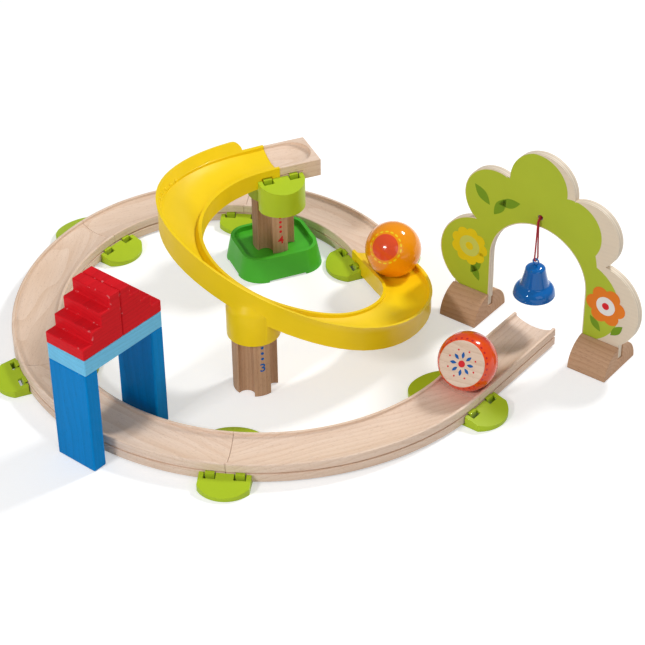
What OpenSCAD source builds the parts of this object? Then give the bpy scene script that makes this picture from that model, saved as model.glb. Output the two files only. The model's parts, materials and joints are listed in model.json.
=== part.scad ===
// Ball track: a wooden ring track with a spiral chute on two pillars, a bell arch and a block gate.
// Millimetres, +Z up, +X to the right and +Y away from the viewer.

/* [Track] */
// Width of every track piece
track_w = 38; // [34:0.5:46]
// Height of every track piece
track_h = 15; // [12:0.5:20]
// Width of the flat rim on each side of the groove
rim_w = 2.5; // [2:0.25:4]
// Height of the groove's steep walls under the rims
wall_d = 2.4; // [1:0.1:4]
// Height of the saw groove along both sides
side_groove_h = 1.4; // [1:0.1:2]
// Depth of the saw groove along both sides
side_groove_d = 1.6; // [1.2:0.1:2.4]
// Centre-line radius of the three large curves
large_r = 181; // [150:1:220]
// Centre-line radius of the two small curves
small_r = 133; // [110:1:150]
// Direction of the joint between the last curve and the straight, seen from the ring's centre
ring_turn = 323.5; // [300:0.5:340]
// Length of the straight run-out
straight_len = 105; // [80:1:130]
// Length of the starter cup block
cup_len = 35; // [32:1:45]
// Hairline gap between two pieces that butt together
joint_gap = 0.3; // [0.1:0.1:1]

/* [Balls] */
// Diameter of both balls
ball_d = 45; // [44.6:0.1:50]
// How much the radius of the groove's floor is larger than the ball's
groove_ease = 12; // [4:0.5:20]
// Running gap of a ball over its groove
ball_gap = 0.4; // [0.3:0.05:0.6]
// Diameter of the red ball's flat wooden face
face_d = 34; // [26:0.5:38]
// Direction that the flat face looks in, from +X
face_turn = 247; // [0:1:359]
// Tilt of the flat face from level
face_tilt = 64; // [0:1:180]
// How far the red ball has run past the last joint
red_ball_run = 11.5; // [3:0.5:20]
// How far the orange ball has run along the chute's straight end
orange_ball_run = 9; // [4:0.5:20]

/* [Connectors] */
// Length of a connector along the track
clip_len = 38; // [32:0.5:46]
// Reach of each half-round ear beyond the track's side
ear_reach = 21.5; // [14:0.5:24]
// Radius of an ear's outer edge
ear_round = 23; // [20:0.5:30]
// Height of an ear at the track's side
ear_h = 8.7; // [6:0.1:11]
// Height of an ear at its outer edge
ear_edge_h = 3.2; // [3:0.1:7]
// Thickness of a connector's floor
plate_t = 1.6; // [1.2:0.1:3]
// Thickness of a connector's walls
clip_wall = 2; // [1.4:0.1:3]
// Width of a snap tongue
tongue_w = 7; // [5:0.25:9]
// Thickness of a snap tongue
tongue_t = 1.5; // [1.2:0.1:2]
// Gap round a snap tongue in its slot
tongue_gap = 0.9; // [0.6:0.1:1.4]
// Distance of a tongue's middle from the joint
tongue_place = 11; // [9:0.25:12]
// Gap between a connector and the track's sides
clip_gap = 0.15; // [0.1:0.05:0.4]

/* [Chute] */
// Centre-line radius of the chute's turn
chute_r = 86; // [75:1:100]
// Straight length at the chute's start
lead_in = 13; // [8:1:24]
// Straight length at the chute's end
lead_out = 48; // [36:1:60]
// Heading at the chute's start, in degrees from +X
chute_heading = 203.3; // [190:0.1:215]
// Drop of the straight end for each millimetre run
end_slope = 0.09; // [0.04:0.01:0.14]
// Heights of the inner lip from the tower to the front pillar, as shares of the drop between them
upper_shares = [0.9273, 0.7996, 0.489];
// Heights of the inner lip from the front pillar to the track, as shares of the drop between them
lower_shares = [0.5641, 0.2674];
// Height of the inner lip over the front pillar's top, just past the pillar
lip_over_pillar = 4.07; // [3:0.01:8]
// Rise of the outer side where the turn is banked most
bank_rise = 23; // [0:1:28]
// Inward shift of the inner lip where the turn is banked most
bank_pinch = 7; // [0:0.5:9]
// Lean of the groove's inner wall where the turn is banked most
inner_lean = 3; // [0:0.25:5]
// Extra depth of the groove's inner wall where the turn is banked most
inner_dip = 1.5; // [0:0.25:3]
// Run along the chute where the banking starts
bank_from = 10; // [0:1:40]
// Run along the chute where the banking ends
bank_to = 335; // [280:1:400]
// Height of the outer guard wall above its rim
guard_h = 8; // [4:0.5:12]
// Outward lean of the guard wall's top where the turn is flat
guard_lean = 4.5; // [2:0.25:7]
// Run from the start of the turn to the guard wall's start
guard_after = 4; // [1:1:27]
// Run over which the guard wall's end is rounded
guard_round = 6; // [3:0.5:10]
// Wall and floor thickness of the chute
chute_wall = 2.6; // [2:0.1:3.4]
// Direction of the collar on the front pillar, seen from the turn's centre
collar_angle = 250.8; // [240:0.1:262]
// How far the collar's axis lies outside the chute's centre line
collar_out = 5; // [0:0.5:8]
// Wall of the collar round the pillar
collar_wall = 3; // [2:0.1:5]
// Length of pillar held in the collar
collar_grip = 9.5; // [7:0.5:14]

/* [Tower] */
// Height of one pillar level
level_h = 19.5; // [16:0.25:24]
// Diameter of a pillar
pillar_d = 34; // [28:0.5:40]
// Diameter of a pillar's flutes
flute_d = 12.5; // [10:0.5:14]
// Depth of a pillar's flutes
flute_depth = 7; // [4:0.25:8]
// Gap between a pillar and its socket
pillar_gap = 0.2; // [0.1:0.05:0.5]
// Length of the tower base
base_l = 72; // [64:1:90]
// Width of the tower base
base_w = 64; // [60:1:80]
// Height of the tower base
base_h = 20; // [14:0.5:26]
// Inward lean of the base's sides
base_lean = 4; // [2:0.5:7]
// Corner radius of the base
base_round = 20; // [12:1:30]
// Wall of the base
base_wall = 3; // [2:0.25:5]
// Height of the tray floor inside the base
tray_h = 16; // [8:0.5:18]
// Floor under the pillar in the base
base_floor = 1.6; // [1.2:0.1:4]
// Height of the low arches between the base's feet
foot_arch_h = 1.2; // [0.5:0.1:1.5]
// Roof over the pillar in the tower bracket
bracket_roof = 2.4; // [2:0.1:5]
// Depth of the tower bracket's sleeve below its roof
sleeve_depth = 14; // [10:0.5:20]
// Depth of the tower bracket's two ears below its roof
bracket_ear_depth = 17; // [14:0.5:32]
// Reach of the bracket's ears beyond the cup's sides
bracket_ear_reach = 19.5; // [14:0.5:24]
// Radius of the outer edge of the bracket's ears
bracket_ear_round = 20; // [19.5:0.5:30]

/* [Bell arch] */
// Run from the last joint to the arch's middle
arch_run = 109; // [100:0.5:150]
// Sideways shift of the arch from the straight's middle
arch_side = -1.2; // [-5:0.1:5]
// Thickness of the arch panel
panel_t = 6; // [4:0.25:9]
// Width of the opening in the arch
arch_w = 85; // [70:1:95]
// Height of the opening in the arch
arch_h = 101; // [85:1:110]
// Distance of an arch foot's middle from the arch's middle
foot_place = 59; // [54:0.5:66]
// Length of an arch foot along the panel
foot_l = 33; // [26:0.5:40]
// Radius of an arch foot's half-round section
foot_r = 22; // [18:0.5:28]
// Floor of the slot in an arch foot
slot_floor = 10; // [6:0.5:14]
// Gap between the panel and its slot on each side
slot_gap = 0.15; // [0.05:0.05:0.4]
// Radius of the bell cord's hole
hole_r = 2.2; // [1.8:0.1:3]
// Height of the bell cord's hole
hole_z = 109.5; // [106:0.5:114]
// Diameter of the bell cord
cord_d = 1.2; // [1:0.1:1.4]

/* [Bell] */
// Mouth diameter of the bell
bell_d = 32; // [26:0.5:38]
// Height of the bell
bell_h = 27; // [22:0.5:30]
// Crown diameter of the bell
crown_d = 15.6; // [12:0.1:18]
// Diameter of the bell's waist over its brim
waist_d = 22; // [18:0.5:26]
// Height of the bell's brim
brim_h = 9.5; // [6:0.5:12]
// Wall of the bell
bell_wall = 1.4; // [1:0.1:2]
// Height of the bell's mouth above the floor
bell_z = 41.5; // [34:0.5:44]
// How far the bell hangs in front of the panel's middle
bell_out = 5.7; // [5.5:0.1:7]
// Wire diameter of the bell's eye
eye_wire = 1.2; // [1:0.1:1.6]
// Diameter of the clapper's ball
clapper_d = 7; // [5:0.25:9]

/* [Block gate] */
// Direction of the block gate, seen from the ring's centre
gate_angle = 233.7; // [225:0.1:245]
// Heading of the lintel from the outer post to the inner post
gate_heading = 51.5; // [45:0.1:60]
// Length of the lintel
lintel_l = 78; // [72:1:96]
// Depth of all the gate's blocks
block_w = 37; // [30:0.5:44]
// Height of the lintel
lintel_h = 13.5; // [10:0.5:20]
// Height of the posts
post_h = 85; // [75:1:100]
// Thickness of the posts
post_t = 12; // [8:0.5:13]
// Height of the stair blocks
stair_h = 39; // [30:1:50]
// Number of steps on a stair block
steps = 4; // [3:1:6]
// Rounding of the blocks' upright edges
block_round = 1.5; // [0.5:0.1:3]

/* [Hidden] */
$fn = 96;
// Middle of the whole set, seen from the ring's centre
set_centre = [41.4, -9.6];
curve_turn = 60;
half = track_w / 2;
track_z = plate_t;
rim_z = track_z + track_h;
floor_r = ball_d / 2 + groove_ease;
groove_half = half - rim_w;
groove_depth = wall_d + floor_r - sqrt(floor_r * floor_r - groove_half * groove_half);
saw_z = track_h / 2;
pillar_r = pillar_d / 2;
front_pillar_h = 3 * level_h;
rear_pillar_h = 4 * level_h;

function dir(a) = [cos(a), sin(a)];
function at(p, z) = [p[0], p[1], z];
function clamp(v, lo, hi) = max(lo, min(hi, v));
function ramp(v, lo, hi) = let (t = clamp((v - lo) / (hi - lo), 0, 1)) t * t * (3 - 2 * t);

// Joints of the ring, counted from the straight back to the chute's exit
angle_right = ring_turn;
angle_front = ring_turn - curve_turn;
angle_left = ring_turn - 2 * curve_turn;
angle_back_left = ring_turn - 3 * curve_turn;
angle_back = ring_turn - 4 * curve_turn;
angle_exit = ring_turn - 5 * curve_turn;
small_centre = (large_r - small_r) * dir(angle_back_left);
straight_start = large_r * dir(angle_right);
straight_heading = angle_right + 90;
exit_point = small_centre + small_r * dir(angle_exit);
exit_heading = angle_exit + 90;

// Chute's centre line
turn_centre = exit_point - lead_out * dir(exit_heading) + chute_r * dir(exit_heading + 90);
chute_turn = exit_heading + 360 - chute_heading;
arc_len = chute_r * chute_turn * PI / 180;
turn_end = lead_in + arc_len;
chute_len = turn_end + lead_out;
function chute_angle(s) = chute_heading - 90 + clamp((s - lead_in) / chute_r * 180 / PI, 0, chute_turn);
function chute_xy(s) = turn_centre + chute_r * dir(chute_angle(s))
    + min(s - lead_in, 0) * dir(chute_heading) + max(s - turn_end, 0) * dir(exit_heading);
tower_xy = chute_xy(0);
tower_turn = chute_heading - 180;

// Chute's heights
bracket_z = base_floor + rear_pillar_h + pillar_gap + bracket_roof;
start_lip = bracket_z + track_h;
end_lip = rim_z + lead_out * end_slope;
pillar_lip = front_pillar_h + lip_over_pillar;
lips = concat([start_lip], [for (k = upper_shares) pillar_lip + k * (start_lip - pillar_lip)], [pillar_lip],
    [for (k = lower_shares) end_lip + k * (pillar_lip - end_lip)], [end_lip]);
last_lip = len(lips) - 1;
function lip_knot(i) = i < 0 ? 2 * lips[0] - lips[1]
    : i > last_lip ? 2 * lips[last_lip] - lips[last_lip - 1] : lips[i];
function blend(a, b, c, d, t) = 0.5 * (2 * b + (c - a) * t + (2 * a - 5 * b + 4 * c - d) * t * t
    + (3 * b - a - 3 * c + d) * t * t * t);
function lip_z(s) = s >= turn_end ? end_lip - (s - turn_end) * end_slope
    : let (u = s / turn_end * last_lip, i = min(floor(u), last_lip - 1))
        blend(lip_knot(i - 1), lip_knot(i), lip_knot(i + 1), lip_knot(i + 2), u - i);
function bank(s) = pow(sin(180 * clamp((s - bank_from) / (bank_to - bank_from), 0, 1)), 2);
guard_from = lead_in + guard_after;
function guard_end(s) = let (t = 1 - clamp((s - guard_from) / guard_round, 0, 1)) sqrt(1 - t * t);
function guard(s) = 0.5 + (guard_h - 0.5) * guard_end(s) * (1 - ramp(s, bank_to - 45, bank_to + 65));

// Stations along the chute, closer where the guard wall starts
guard_full = guard_from + guard_round;
stations = concat([0, lead_in / 2, lead_in],
    [for (k = [0, 0.04, 0.12, 0.25, 0.45, 0.7, 1]) guard_from + k * guard_round],
    [for (i = [1 : 50]) guard_full + i * (turn_end - guard_full) / 50],
    [turn_end + lead_out / 2, chute_len]);

floor_half_angle = asin(groove_half / floor_r);
groove_steps = 12;
// One point of the groove: 0 at the inner rim, then the floor, and groove_steps at the outer rim
function groove_point(s, i) =
    let (u = clamp((i - 1) / (groove_steps - 2), 0, 1), a = (2 * u - 1) * floor_half_angle,
        drop = i == 0 || i == groove_steps ? 0 : wall_d + floor_r * (cos(a) - cos(floor_half_angle)),
        l = floor_r * sin(a), k = (l / groove_half + 1) / 2,
        ease = i == 0 ? 0 : bank(s) * pow(1 - k, 3))
    [l + bank_pinch * bank(s) * (1 - k) + inner_lean * ease,
     lip_z(s) - drop + bank_rise * bank(s) * k - inner_dip * ease];
// One point of the chute's underside, between its two side walls
function under_point(s, i) =
    let (q = groove_point(s, i), inner = -half + bank_pinch * bank(s) + chute_wall)
    [clamp(q[0], inner, half - chute_wall), q[1] - chute_wall];

// Lower edge of the chute's sides, level where the tower bracket carries them
function skirt_z(s) = let (level = 1 - ramp(s, clip_len / 2 + 1, clip_len))
    level * bracket_z + (1 - level) * (lip_z(s) - track_h);

// Cross-section of the chute, sideways from the centre line and up from the floor
function shell_section(s) =
    let (z = lip_z(s), b = bank_rise * bank(s), p = bank_pinch * bank(s), g = guard(s),
        lean = guard_lean * (1 - bank(s)) * g / guard_h, inner = -half + p, low = skirt_z(s),
        fillet = wall_d + chute_wall + 1, inner_fillet = fillet + inner_dip * bank(s))
    concat([[inner, low], [inner, z]],
        [for (i = [0 : groove_steps]) groove_point(s, i)],
        [[half - 2, z + b + 0.3], [half - 2 + lean, z + b + g], [half + lean, z + b + g],
         [half, z + b], [half, low + b], [half - chute_wall, low + b],
         [half - chute_wall, z + b - fillet]],
        [for (i = [groove_steps - 1 : -1 : 1]) under_point(s, i)],
        [[inner + chute_wall, z - inner_fillet], [inner + chute_wall, low]]);

// Solid through equal rings of points; caps are triangles over one ring, in the ring's order
module sweep(points, n, caps) {
    m = len(points) / n;
    sides = [for (j = [0 : m - 2], i = [0 : n - 1], k = [0, 1])
        let (a = j * n + i, b = j * n + (i + 1) % n)
        k == 0 ? [a, b + n, b] : [a, a + n, b + n]];
    first = caps;
    last = [for (c = caps) [for (v = [c[2], c[1], c[0]]) v + (m - 1) * n]];
    polyhedron(points = points, faces = concat(sides, first, last), convexity = 10);
}

module chute_sweep(sections, caps) {
    points = [for (j = [0 : len(stations) - 1], q = sections[j])
        at(chute_xy(stations[j]) + q[0] * dir(chute_angle(stations[j])), q[1])];
    sweep(points, len(sections[0]), caps);
}

function fan(n) = [for (i = [1 : n - 2]) [0, i, i + 1]];

// Triangles over the end of the chute's section: floor strip, inner wall, outer wall and guard
g0 = 2;
g1 = g0 + groove_steps;
under = g1 + 7 + groove_steps;
shell_caps = concat([[0, 1, under], [0, under, under + 1], [1, g0, g0 + 1], [1, g0 + 1, under],
     [g0 + 1, under - 1, under]],
    [for (i = [1 : groove_steps - 2], k = [0, 1])
        k == 0 ? [g0 + i, g0 + i + 1, under - i - 1] : [g0 + i, under - i - 1, under - i]],
    [[g1, g1 + 1, g1 + 4], [g1 + 1, g1 + 2, g1 + 3], [g1 + 1, g1 + 3, g1 + 4], [g1 - 1, g1, g1 + 4],
     [g1 - 1, g1 + 4, g1 + 7], [g1 - 1, g1 + 7, g1 + 8], [g1 + 4, g1 + 5, g1 + 6], [g1 + 4, g1 + 6, g1 + 7]]);

// Everything is drawn round the ring's centre and moved so that the set's middle is at the origin
module placed() {
    translate([-set_centre[0], -set_centre[1], 0])
        children();
}

module joint_frame(p, heading, z = 0) {
    translate(at(p, z))
        rotate(heading)
        children();
}

// Groove from its middle, with its rims at height track_h
module groove_section() {
    intersection() {
        translate([0, track_h - groove_depth + floor_r])
            circle(floor_r);
        translate([-groove_half, 0])
            square([2 * groove_half, 2 * track_h]);
    }
}

module track_section() {
    difference() {
        translate([-half, 0])
            square([track_w, track_h]);
        groove_section();
        for (side = [-1, 1])
            translate([side * half, saw_z])
                square([2 * side_groove_d, side_groove_h], center = true);
    }
}

module curve(centre, r, from, turn) {
    ease = joint_gap / 2 / r * 180 / PI;
    translate(at(centre, track_z))
        rotate(from + ease)
        rotate_extrude(angle = turn - 2 * ease, $fn = 180)
        translate([r, 0])
        track_section();
}

module straight(len, z) {
    translate([joint_gap / 2, 0, z])
        rotate([90, 0, 90])
        linear_extrude(len - joint_gap / 2)
        track_section();
}

// Space kept free for the track at a connector
module curve_space(centre, r, from, turn) {
    translate(at(centre, track_z))
        rotate(from)
        rotate_extrude(angle = turn, $fn = 180)
        translate([r - half - clip_gap, 0])
        square([track_w + 2 * clip_gap, 2 * track_h]);
}

module straight_space(len, z) {
    translate([0, -half - clip_gap, z])
        cube([len, track_w + 2 * clip_gap, 2 * track_h]);
}

module ear_outline(inset, reach = ear_reach, outer_r = ear_round) {
    intersection() {
        translate([-clip_len / 2 + inset, half + inset])
            square([clip_len - 2 * inset, reach - 2 * inset]);
        translate([0, half + reach - outer_r])
            circle(outer_r - inset);
    }
}

module ear_top_cut(lower, reach = ear_reach) {
    tilt = atan((ear_h - ear_edge_h) / reach);
    translate([-clip_len, half, ear_h - lower])
        rotate([-tilt, 0, 0])
        translate([0, -reach, 0])
        cube([2 * clip_len, 3 * reach, 2 * ear_h]);
}

module ear_slots() {
    for (side = [-1, 1])
        translate([side * tongue_place - tongue_w / 2 - tongue_gap, half - 1, plate_t])
            cube([tongue_w + 2 * tongue_gap, tongue_t + 5, 2 * ear_h]);
}

module snap_tongues() {
    hook = side_groove_h - 0.5;
    reach = side_groove_d / 2 - 0.2;
    for (side = [-1, 1])
        translate([side * tongue_place - tongue_w / 2, half + 1, 0]) {
            cube([tongue_w, tongue_t, track_z + saw_z + hook / 2]);
            translate([0, -1 - reach, track_z + saw_z - hook / 2])
                cube([tongue_w, 1 + reach, hook]);
        }
}

module ear() {
    difference() {
        linear_extrude(ear_h)
            ear_outline(0);
        ear_top_cut(0);
        difference() {
            translate([0, 0, -1])
                linear_extrude(ear_h + 1)
                ear_outline(clip_wall);
            ear_top_cut(clip_wall);
        }
        ear_slots();
    }
    translate([-clip_len / 2, half - 1, 0])
        cube([clip_len, 1 + clip_wall, plate_t]);
}

// A connector in its joint's frame: +X along the track
module connector_body() {
    translate([-clip_len / 2, -half, 0])
        cube([clip_len, track_w, plate_t]);
    for (side = [0, 1])
        mirror([0, side, 0])
            ear();
}

module connector_tongues() {
    for (side = [0, 1])
        mirror([0, side, 0])
            snap_tongues();
}

// A connector between two pieces of track, trimmed to the space that children(0) keeps free
module connector(p, heading) {
    color("yellowgreen")
        placed() {
            difference() {
                joint_frame(p, heading)
                    connector_body();
                children(0);
            }
            joint_frame(p, heading)
                connector_tongues();
        }
}

module large_curve(from) {
    color("burlywood")
        placed()
            curve([0, 0], large_r, from, curve_turn);
}

module small_curve(from) {
    color("burlywood")
        placed()
            curve(small_centre, small_r, from, curve_turn);
}

module curve_large_left() {
    large_curve(angle_back_left);
}

module curve_large_front_left() {
    large_curve(angle_left);
}

module curve_large_front_right() {
    large_curve(angle_front);
}

module curve_small_back_left() {
    small_curve(angle_back);
}

module curve_small_back_right() {
    small_curve(angle_exit);
}

module track_straight() {
    color("burlywood")
        placed()
            joint_frame(straight_start, straight_heading)
                straight(straight_len, track_z);
}

module starter_cup() {
    cup_end = cup_len - groove_half - rim_w;
    color("burlywood")
        placed()
            joint_frame(tower_xy, tower_turn, bracket_z)
                difference() {
                    translate([joint_gap / 2, -half, 0])
                        cube([cup_len, track_w, track_h]);
                    translate([-1, 0, 0])
                        rotate([90, 0, 90])
                        linear_extrude(cup_end + 1)
                        groove_section();
                    translate([cup_end, 0, 0])
                        rotate_extrude()
                        intersection() {
                            groove_section();
                            square([track_w, 3 * track_h]);
                        }
                    for (side = [-1, 1])
                        translate([0, side * half, saw_z])
                            cube([clip_len + 2, 2 * side_groove_d, side_groove_h], center = true);
                }
}

module connector_exit() {
    connector(exit_point, exit_heading) {
        union() {
            curve_space(small_centre, small_r, angle_exit, curve_turn);
            joint_frame(exit_point, exit_heading + 180)
                straight_space(lead_out, track_z);
        }
    }
}

module connector_back() {
    connector(small_centre + small_r * dir(angle_back), angle_back + 90)
        curve_space(small_centre, small_r, angle_exit, 2 * curve_turn);
}

module connector_back_left() {
    connector(large_r * dir(angle_back_left), angle_back_left + 90) {
        union() {
            curve_space(small_centre, small_r, angle_back, curve_turn);
            curve_space([0, 0], large_r, angle_back_left, curve_turn);
        }
    }
}

module connector_left() {
    connector(large_r * dir(angle_left), angle_left + 90)
        curve_space([0, 0], large_r, angle_back_left, 2 * curve_turn);
}

module connector_front() {
    connector(large_r * dir(angle_front), angle_front + 90)
        curve_space([0, 0], large_r, angle_left, 2 * curve_turn);
}

module connector_right() {
    connector(straight_start, straight_heading) {
        union() {
            curve_space([0, 0], large_r, angle_front, curve_turn);
            joint_frame(straight_start, straight_heading)
                straight_space(straight_len, track_z);
        }
    }
}

module pillar_outline(gap) {
    difference() {
        circle(pillar_r + gap);
        for (k = [0 : 3])
            rotate(45 + 90 * k)
                translate([pillar_r - flute_depth + flute_d / 2, 0])
                circle(flute_d / 2 - gap);
    }
}

module rounded_plan(l, w, r) {
    square([l - 2 * r, w], center = true);
    square([l, w - 2 * r], center = true);
    for (x = [-1, 1], y = [-1, 1])
        translate([x * (l / 2 - r), y * (w / 2 - r)])
            circle(r);
}

// Flared block with rounded corners, made of cones and slanted slabs
module flared_block(l, w, r, h, lean) {
    hull() {
        linear_extrude(0.01)
            rounded_plan(l, w, r);
        translate([0, 0, h - 0.01])
            linear_extrude(0.01)
            rounded_plan(l - 2 * lean, w - 2 * lean, r - lean);
    }
}

// Hollow under the tray, round the pillar's socket
module base_underside() {
    inset = base_wall + base_lean / 2;
    difference() {
        translate([0, 0, -1])
            linear_extrude(tray_h - base_wall + 1)
            rounded_plan(base_l - 2 * inset, base_w - 2 * inset, base_round - inset);
        cylinder(r = pillar_r + pillar_gap + base_wall, h = base_h);
        translate([0, 0, foot_arch_h])
            cylinder(r = pillar_r, h = base_h);
    }
}

module tower_base() {
    arch_span = [base_l - 2 * base_round, base_w - 2 * base_round];
    tray_l = base_l - 2 * base_lean - 2 * base_wall;
    tray_w = base_w - 2 * base_lean - 2 * base_wall;
    color("green")
        placed()
            joint_frame(tower_xy, tower_turn)
                difference() {
                    flared_block(base_l, base_w, base_round, base_h, base_lean);
                    translate([0, 0, tray_h])
                        linear_extrude(base_h)
                        rounded_plan(tray_l, tray_w, base_round - base_lean - base_wall);
                    translate([0, 0, base_floor])
                        linear_extrude(base_h)
                        pillar_outline(pillar_gap);
                    base_underside();
                    for (k = [0, 1])
                        rotate(90 * k)
                            translate([0, 0, foot_arch_h / 2 - 1])
                            cube([arch_span[k], 2 * base_l, foot_arch_h + 2], center = true);
                }
}

module rear_pillar() {
    color("tan")
        placed()
            joint_frame(tower_xy, tower_turn, base_floor)
                linear_extrude(rear_pillar_h)
                pillar_outline(0);
}

module front_pillar() {
    color("tan")
        placed()
            joint_frame(collar_xy, tower_turn)
                linear_extrude(front_pillar_h)
                pillar_outline(0);
}

module tower_bracket() {
    roof_low = bracket_z - bracket_roof;
    sleeve_r = pillar_r + pillar_gap + collar_wall;
    color("yellowgreen")
        placed()
            joint_frame(tower_xy, tower_turn) {
                difference() {
                    union() {
                        translate([0, 0, roof_low - sleeve_depth])
                            cylinder(r = sleeve_r, h = sleeve_depth + bracket_roof);
                        translate([-clip_len / 2, -half, roof_low])
                            cube([clip_len, track_w, bracket_roof]);
                        for (side = [0, 1])
                            mirror([0, side, 0])
                                bracket_ear(roof_low - bracket_ear_depth);
                    }
                    translate([0, 0, roof_low - bracket_ear_depth - 1])
                        linear_extrude(bracket_ear_depth + 1)
                        pillar_outline(pillar_gap);
                    translate([-clip_len, -half - clip_gap, bracket_z])
                        cube([2 * clip_len, track_w + 2 * clip_gap, 2 * track_h]);
                    for (side = [0, 1])
                        mirror([0, side, 0])
                            translate([0, 0, bracket_z - plate_t])
                            ear_slots();
                }
                translate([0, 0, bracket_z - plate_t])
                    connector_tongues();
            }
}

// One half-round ear of the tower bracket, hollow from below and joined to the sleeve
module bracket_ear(low) {
    top = bracket_z - plate_t + ear_h;
    difference() {
        translate([0, 0, low])
            linear_extrude(top - low)
            ear_outline(0, bracket_ear_reach, bracket_ear_round);
        translate([0, 0, bracket_z - plate_t])
            ear_top_cut(0, bracket_ear_reach);
        translate([0, 0, low - 1])
            linear_extrude(bracket_z - bracket_roof - low)
            ear_outline(clip_wall, bracket_ear_reach, bracket_ear_round);
    }
    translate([-clip_len / 2, half - clip_wall, bracket_z - bracket_roof])
        cube([clip_len, 2 * clip_wall, bracket_roof]);
}

collar_xy = turn_centre + (chute_r + collar_out) * dir(collar_angle);
collar_r = pillar_r + pillar_gap + collar_wall;
collar_run = lead_in + (collar_angle - chute_heading + 90) * PI / 180 * chute_r;

// Turned space that keeps the collar out of the channel, tilted with the chute's fall at the collar
module channel_space() {
    s = collar_run;
    floor_middle = groove_steps / 2;
    fall = atan((groove_point(s - 5, floor_middle)[1] - groove_point(s + 5, floor_middle)[1]) / 10);
    z = groove_point(s, floor_middle)[1];
    points = [for (i = [0 : groove_steps]) groove_point(s, i) - [-chute_r, z + chute_wall / 2]];
    joint_frame(chute_xy(s), collar_angle, z)
        rotate([-fall, 0, 0])
        translate([-chute_r, 0, 0])
        rotate(-30)
        rotate_extrude(angle = 60)
        polygon(concat(points, [[chute_r + half + 1, 60], [chute_r - track_w, 60],
            [chute_r - track_w, points[0][1] - track_h]]));
}

module collar() {
    low = front_pillar_h - collar_grip;
    shoulder = lip_z(collar_run) + bank_rise * bank(collar_run) - track_h - low;
    difference() {
        translate(at(collar_xy, low)) {
            cylinder(r = collar_r, h = shoulder);
            translate([0, 0, shoulder])
                cylinder(r1 = collar_r, r2 = collar_r - 8, h = 12);
        }
        channel_space();
    }
}

// Windows for the snap tongues in the chute's sides, seen from one end with +X along the chute
module snap_windows(z) {
    for (side = [-1, 1])
        translate([tongue_place, side * half, z + saw_z])
            cube([tongue_w + 2, 2 * side_groove_d, side_groove_h + 1.4], center = true);
}

module spiral_chute() {
    color("gold")
        placed()
            difference() {
                union() {
                    chute_sweep([for (s = stations) shell_section(s)], shell_caps);
                    collar();
                }
                joint_frame(collar_xy, tower_turn, -1)
                    linear_extrude(front_pillar_h + pillar_gap + 1)
                    pillar_outline(pillar_gap);
                joint_frame(exit_point, exit_heading + 180)
                    snap_windows(track_z + end_slope * tongue_place / 2);
                joint_frame(tower_xy, chute_heading)
                    snap_windows(bracket_z);
            }
}

ball_rise = -groove_depth + ball_gap + ball_d / 2;

module orange_ball() {
    s = turn_end + orange_ball_run;
    color("orange")
        placed()
            translate(at(chute_xy(s), lip_z(s) + ball_rise))
                sphere(d = ball_d);
}

module red_ball() {
    cut = sqrt(ball_d * ball_d - face_d * face_d) / 2;
    color("orangered")
        placed()
            joint_frame(straight_start, straight_heading, rim_z + ball_rise)
                translate([red_ball_run, 0, 0])
                rotate(face_turn - straight_heading)
                rotate([0, face_tilt, 0])
                rotate_extrude()
                intersection() {
                    circle(d = ball_d);
                    translate([0, -ball_d])
                        square([ball_d, ball_d + cut]);
                }
}

module on_arch() {
    across = straight_heading - 90;
    placed()
        joint_frame(straight_start + arch_run * dir(straight_heading) + arch_side * dir(across), across)
            children();
}

// Leafy outline of the arch panel: five lobes over the opening
module arch_outline() {
    spring = arch_h - arch_w / 2;
    difference() {
        union() {
            translate([0, 135])
                circle(28.5);
            translate([0, 80])
                circle(52);
            for (side = [-1, 1]) {
                translate([side * 53, 52])
                    circle(36);
                translate([side * 40.5, 109])
                    circle(27.5);
                translate([side * foot_place - foot_l / 2 + 1, slot_floor])
                    square([foot_l - 2, 40]);
            }
        }
        translate([-arch_w / 2, 0])
            square([arch_w, spring]);
        translate([0, spring])
            circle(d = arch_w);
        translate([0, hole_z])
            circle(hole_r);
        translate([-150, -10])
            square([300, slot_floor + 10]);
        for (side = [-1, 1])
            translate([side * (foot_place + foot_l) - foot_l / 2 - 1, 0])
                square([foot_l + 2, foot_r + 2]);
    }
}

module arch_panel() {
    color("yellowgreen")
        on_arch()
            translate([0, panel_t / 2, 0])
                rotate([90, 0, 0])
                linear_extrude(panel_t)
                arch_outline();
}

module arch_foot(side) {
    color("tan")
        on_arch()
            translate([side * foot_place, 0, 0])
                difference() {
                    intersection() {
                        rotate([0, 90, 0])
                            cylinder(r = foot_r, h = foot_l, center = true);
                        translate([-foot_l, -foot_r - 1, 0])
                            cube([2 * foot_l, 2 * foot_r + 2, foot_r + 1]);
                    }
                    translate([-foot_l, -panel_t / 2 - slot_gap, slot_floor])
                        cube([2 * foot_l, panel_t + 2 * slot_gap, foot_r]);
                }
}

module arch_foot_left() {
    arch_foot(-1);
}

module arch_foot_right() {
    arch_foot(1);
}

bell_top = bell_z + bell_h;
eye_r = 2.4;
eye_z = bell_top + eye_r + eye_wire / 2;
hook_r = 1.8;
hook_z = bell_top - bell_wall - hook_r - 1.2;

// Bell from its mouth: upright lip, rounded brim, straight flare and domed crown
module bell_profile(inset) {
    lip_h = brim_h / 4;
    brim_top = brim_h - inset;
    dome_h = 0.22 * crown_d;
    mouth = bell_d / 2 - inset;
    waist = waist_d / 2 - inset;
    polygon(concat([[0, 0], [mouth, 0]],
        [for (i = [0 : 8]) let (a = i * 90 / 8)
            [waist + (mouth - waist) * cos(a), lip_h + (brim_top - lip_h) * sin(a)]],
        [for (i = [0 : 5]) let (a = i * 18)
            [(crown_d / 2 - inset) * cos(a), bell_h - dome_h + (dome_h - inset) * sin(a)]]));
}

// Places its children on the bell's axis, in front of the panel
module on_bell() {
    on_arch()
        translate([0, -bell_out, 0])
        children();
}

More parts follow.
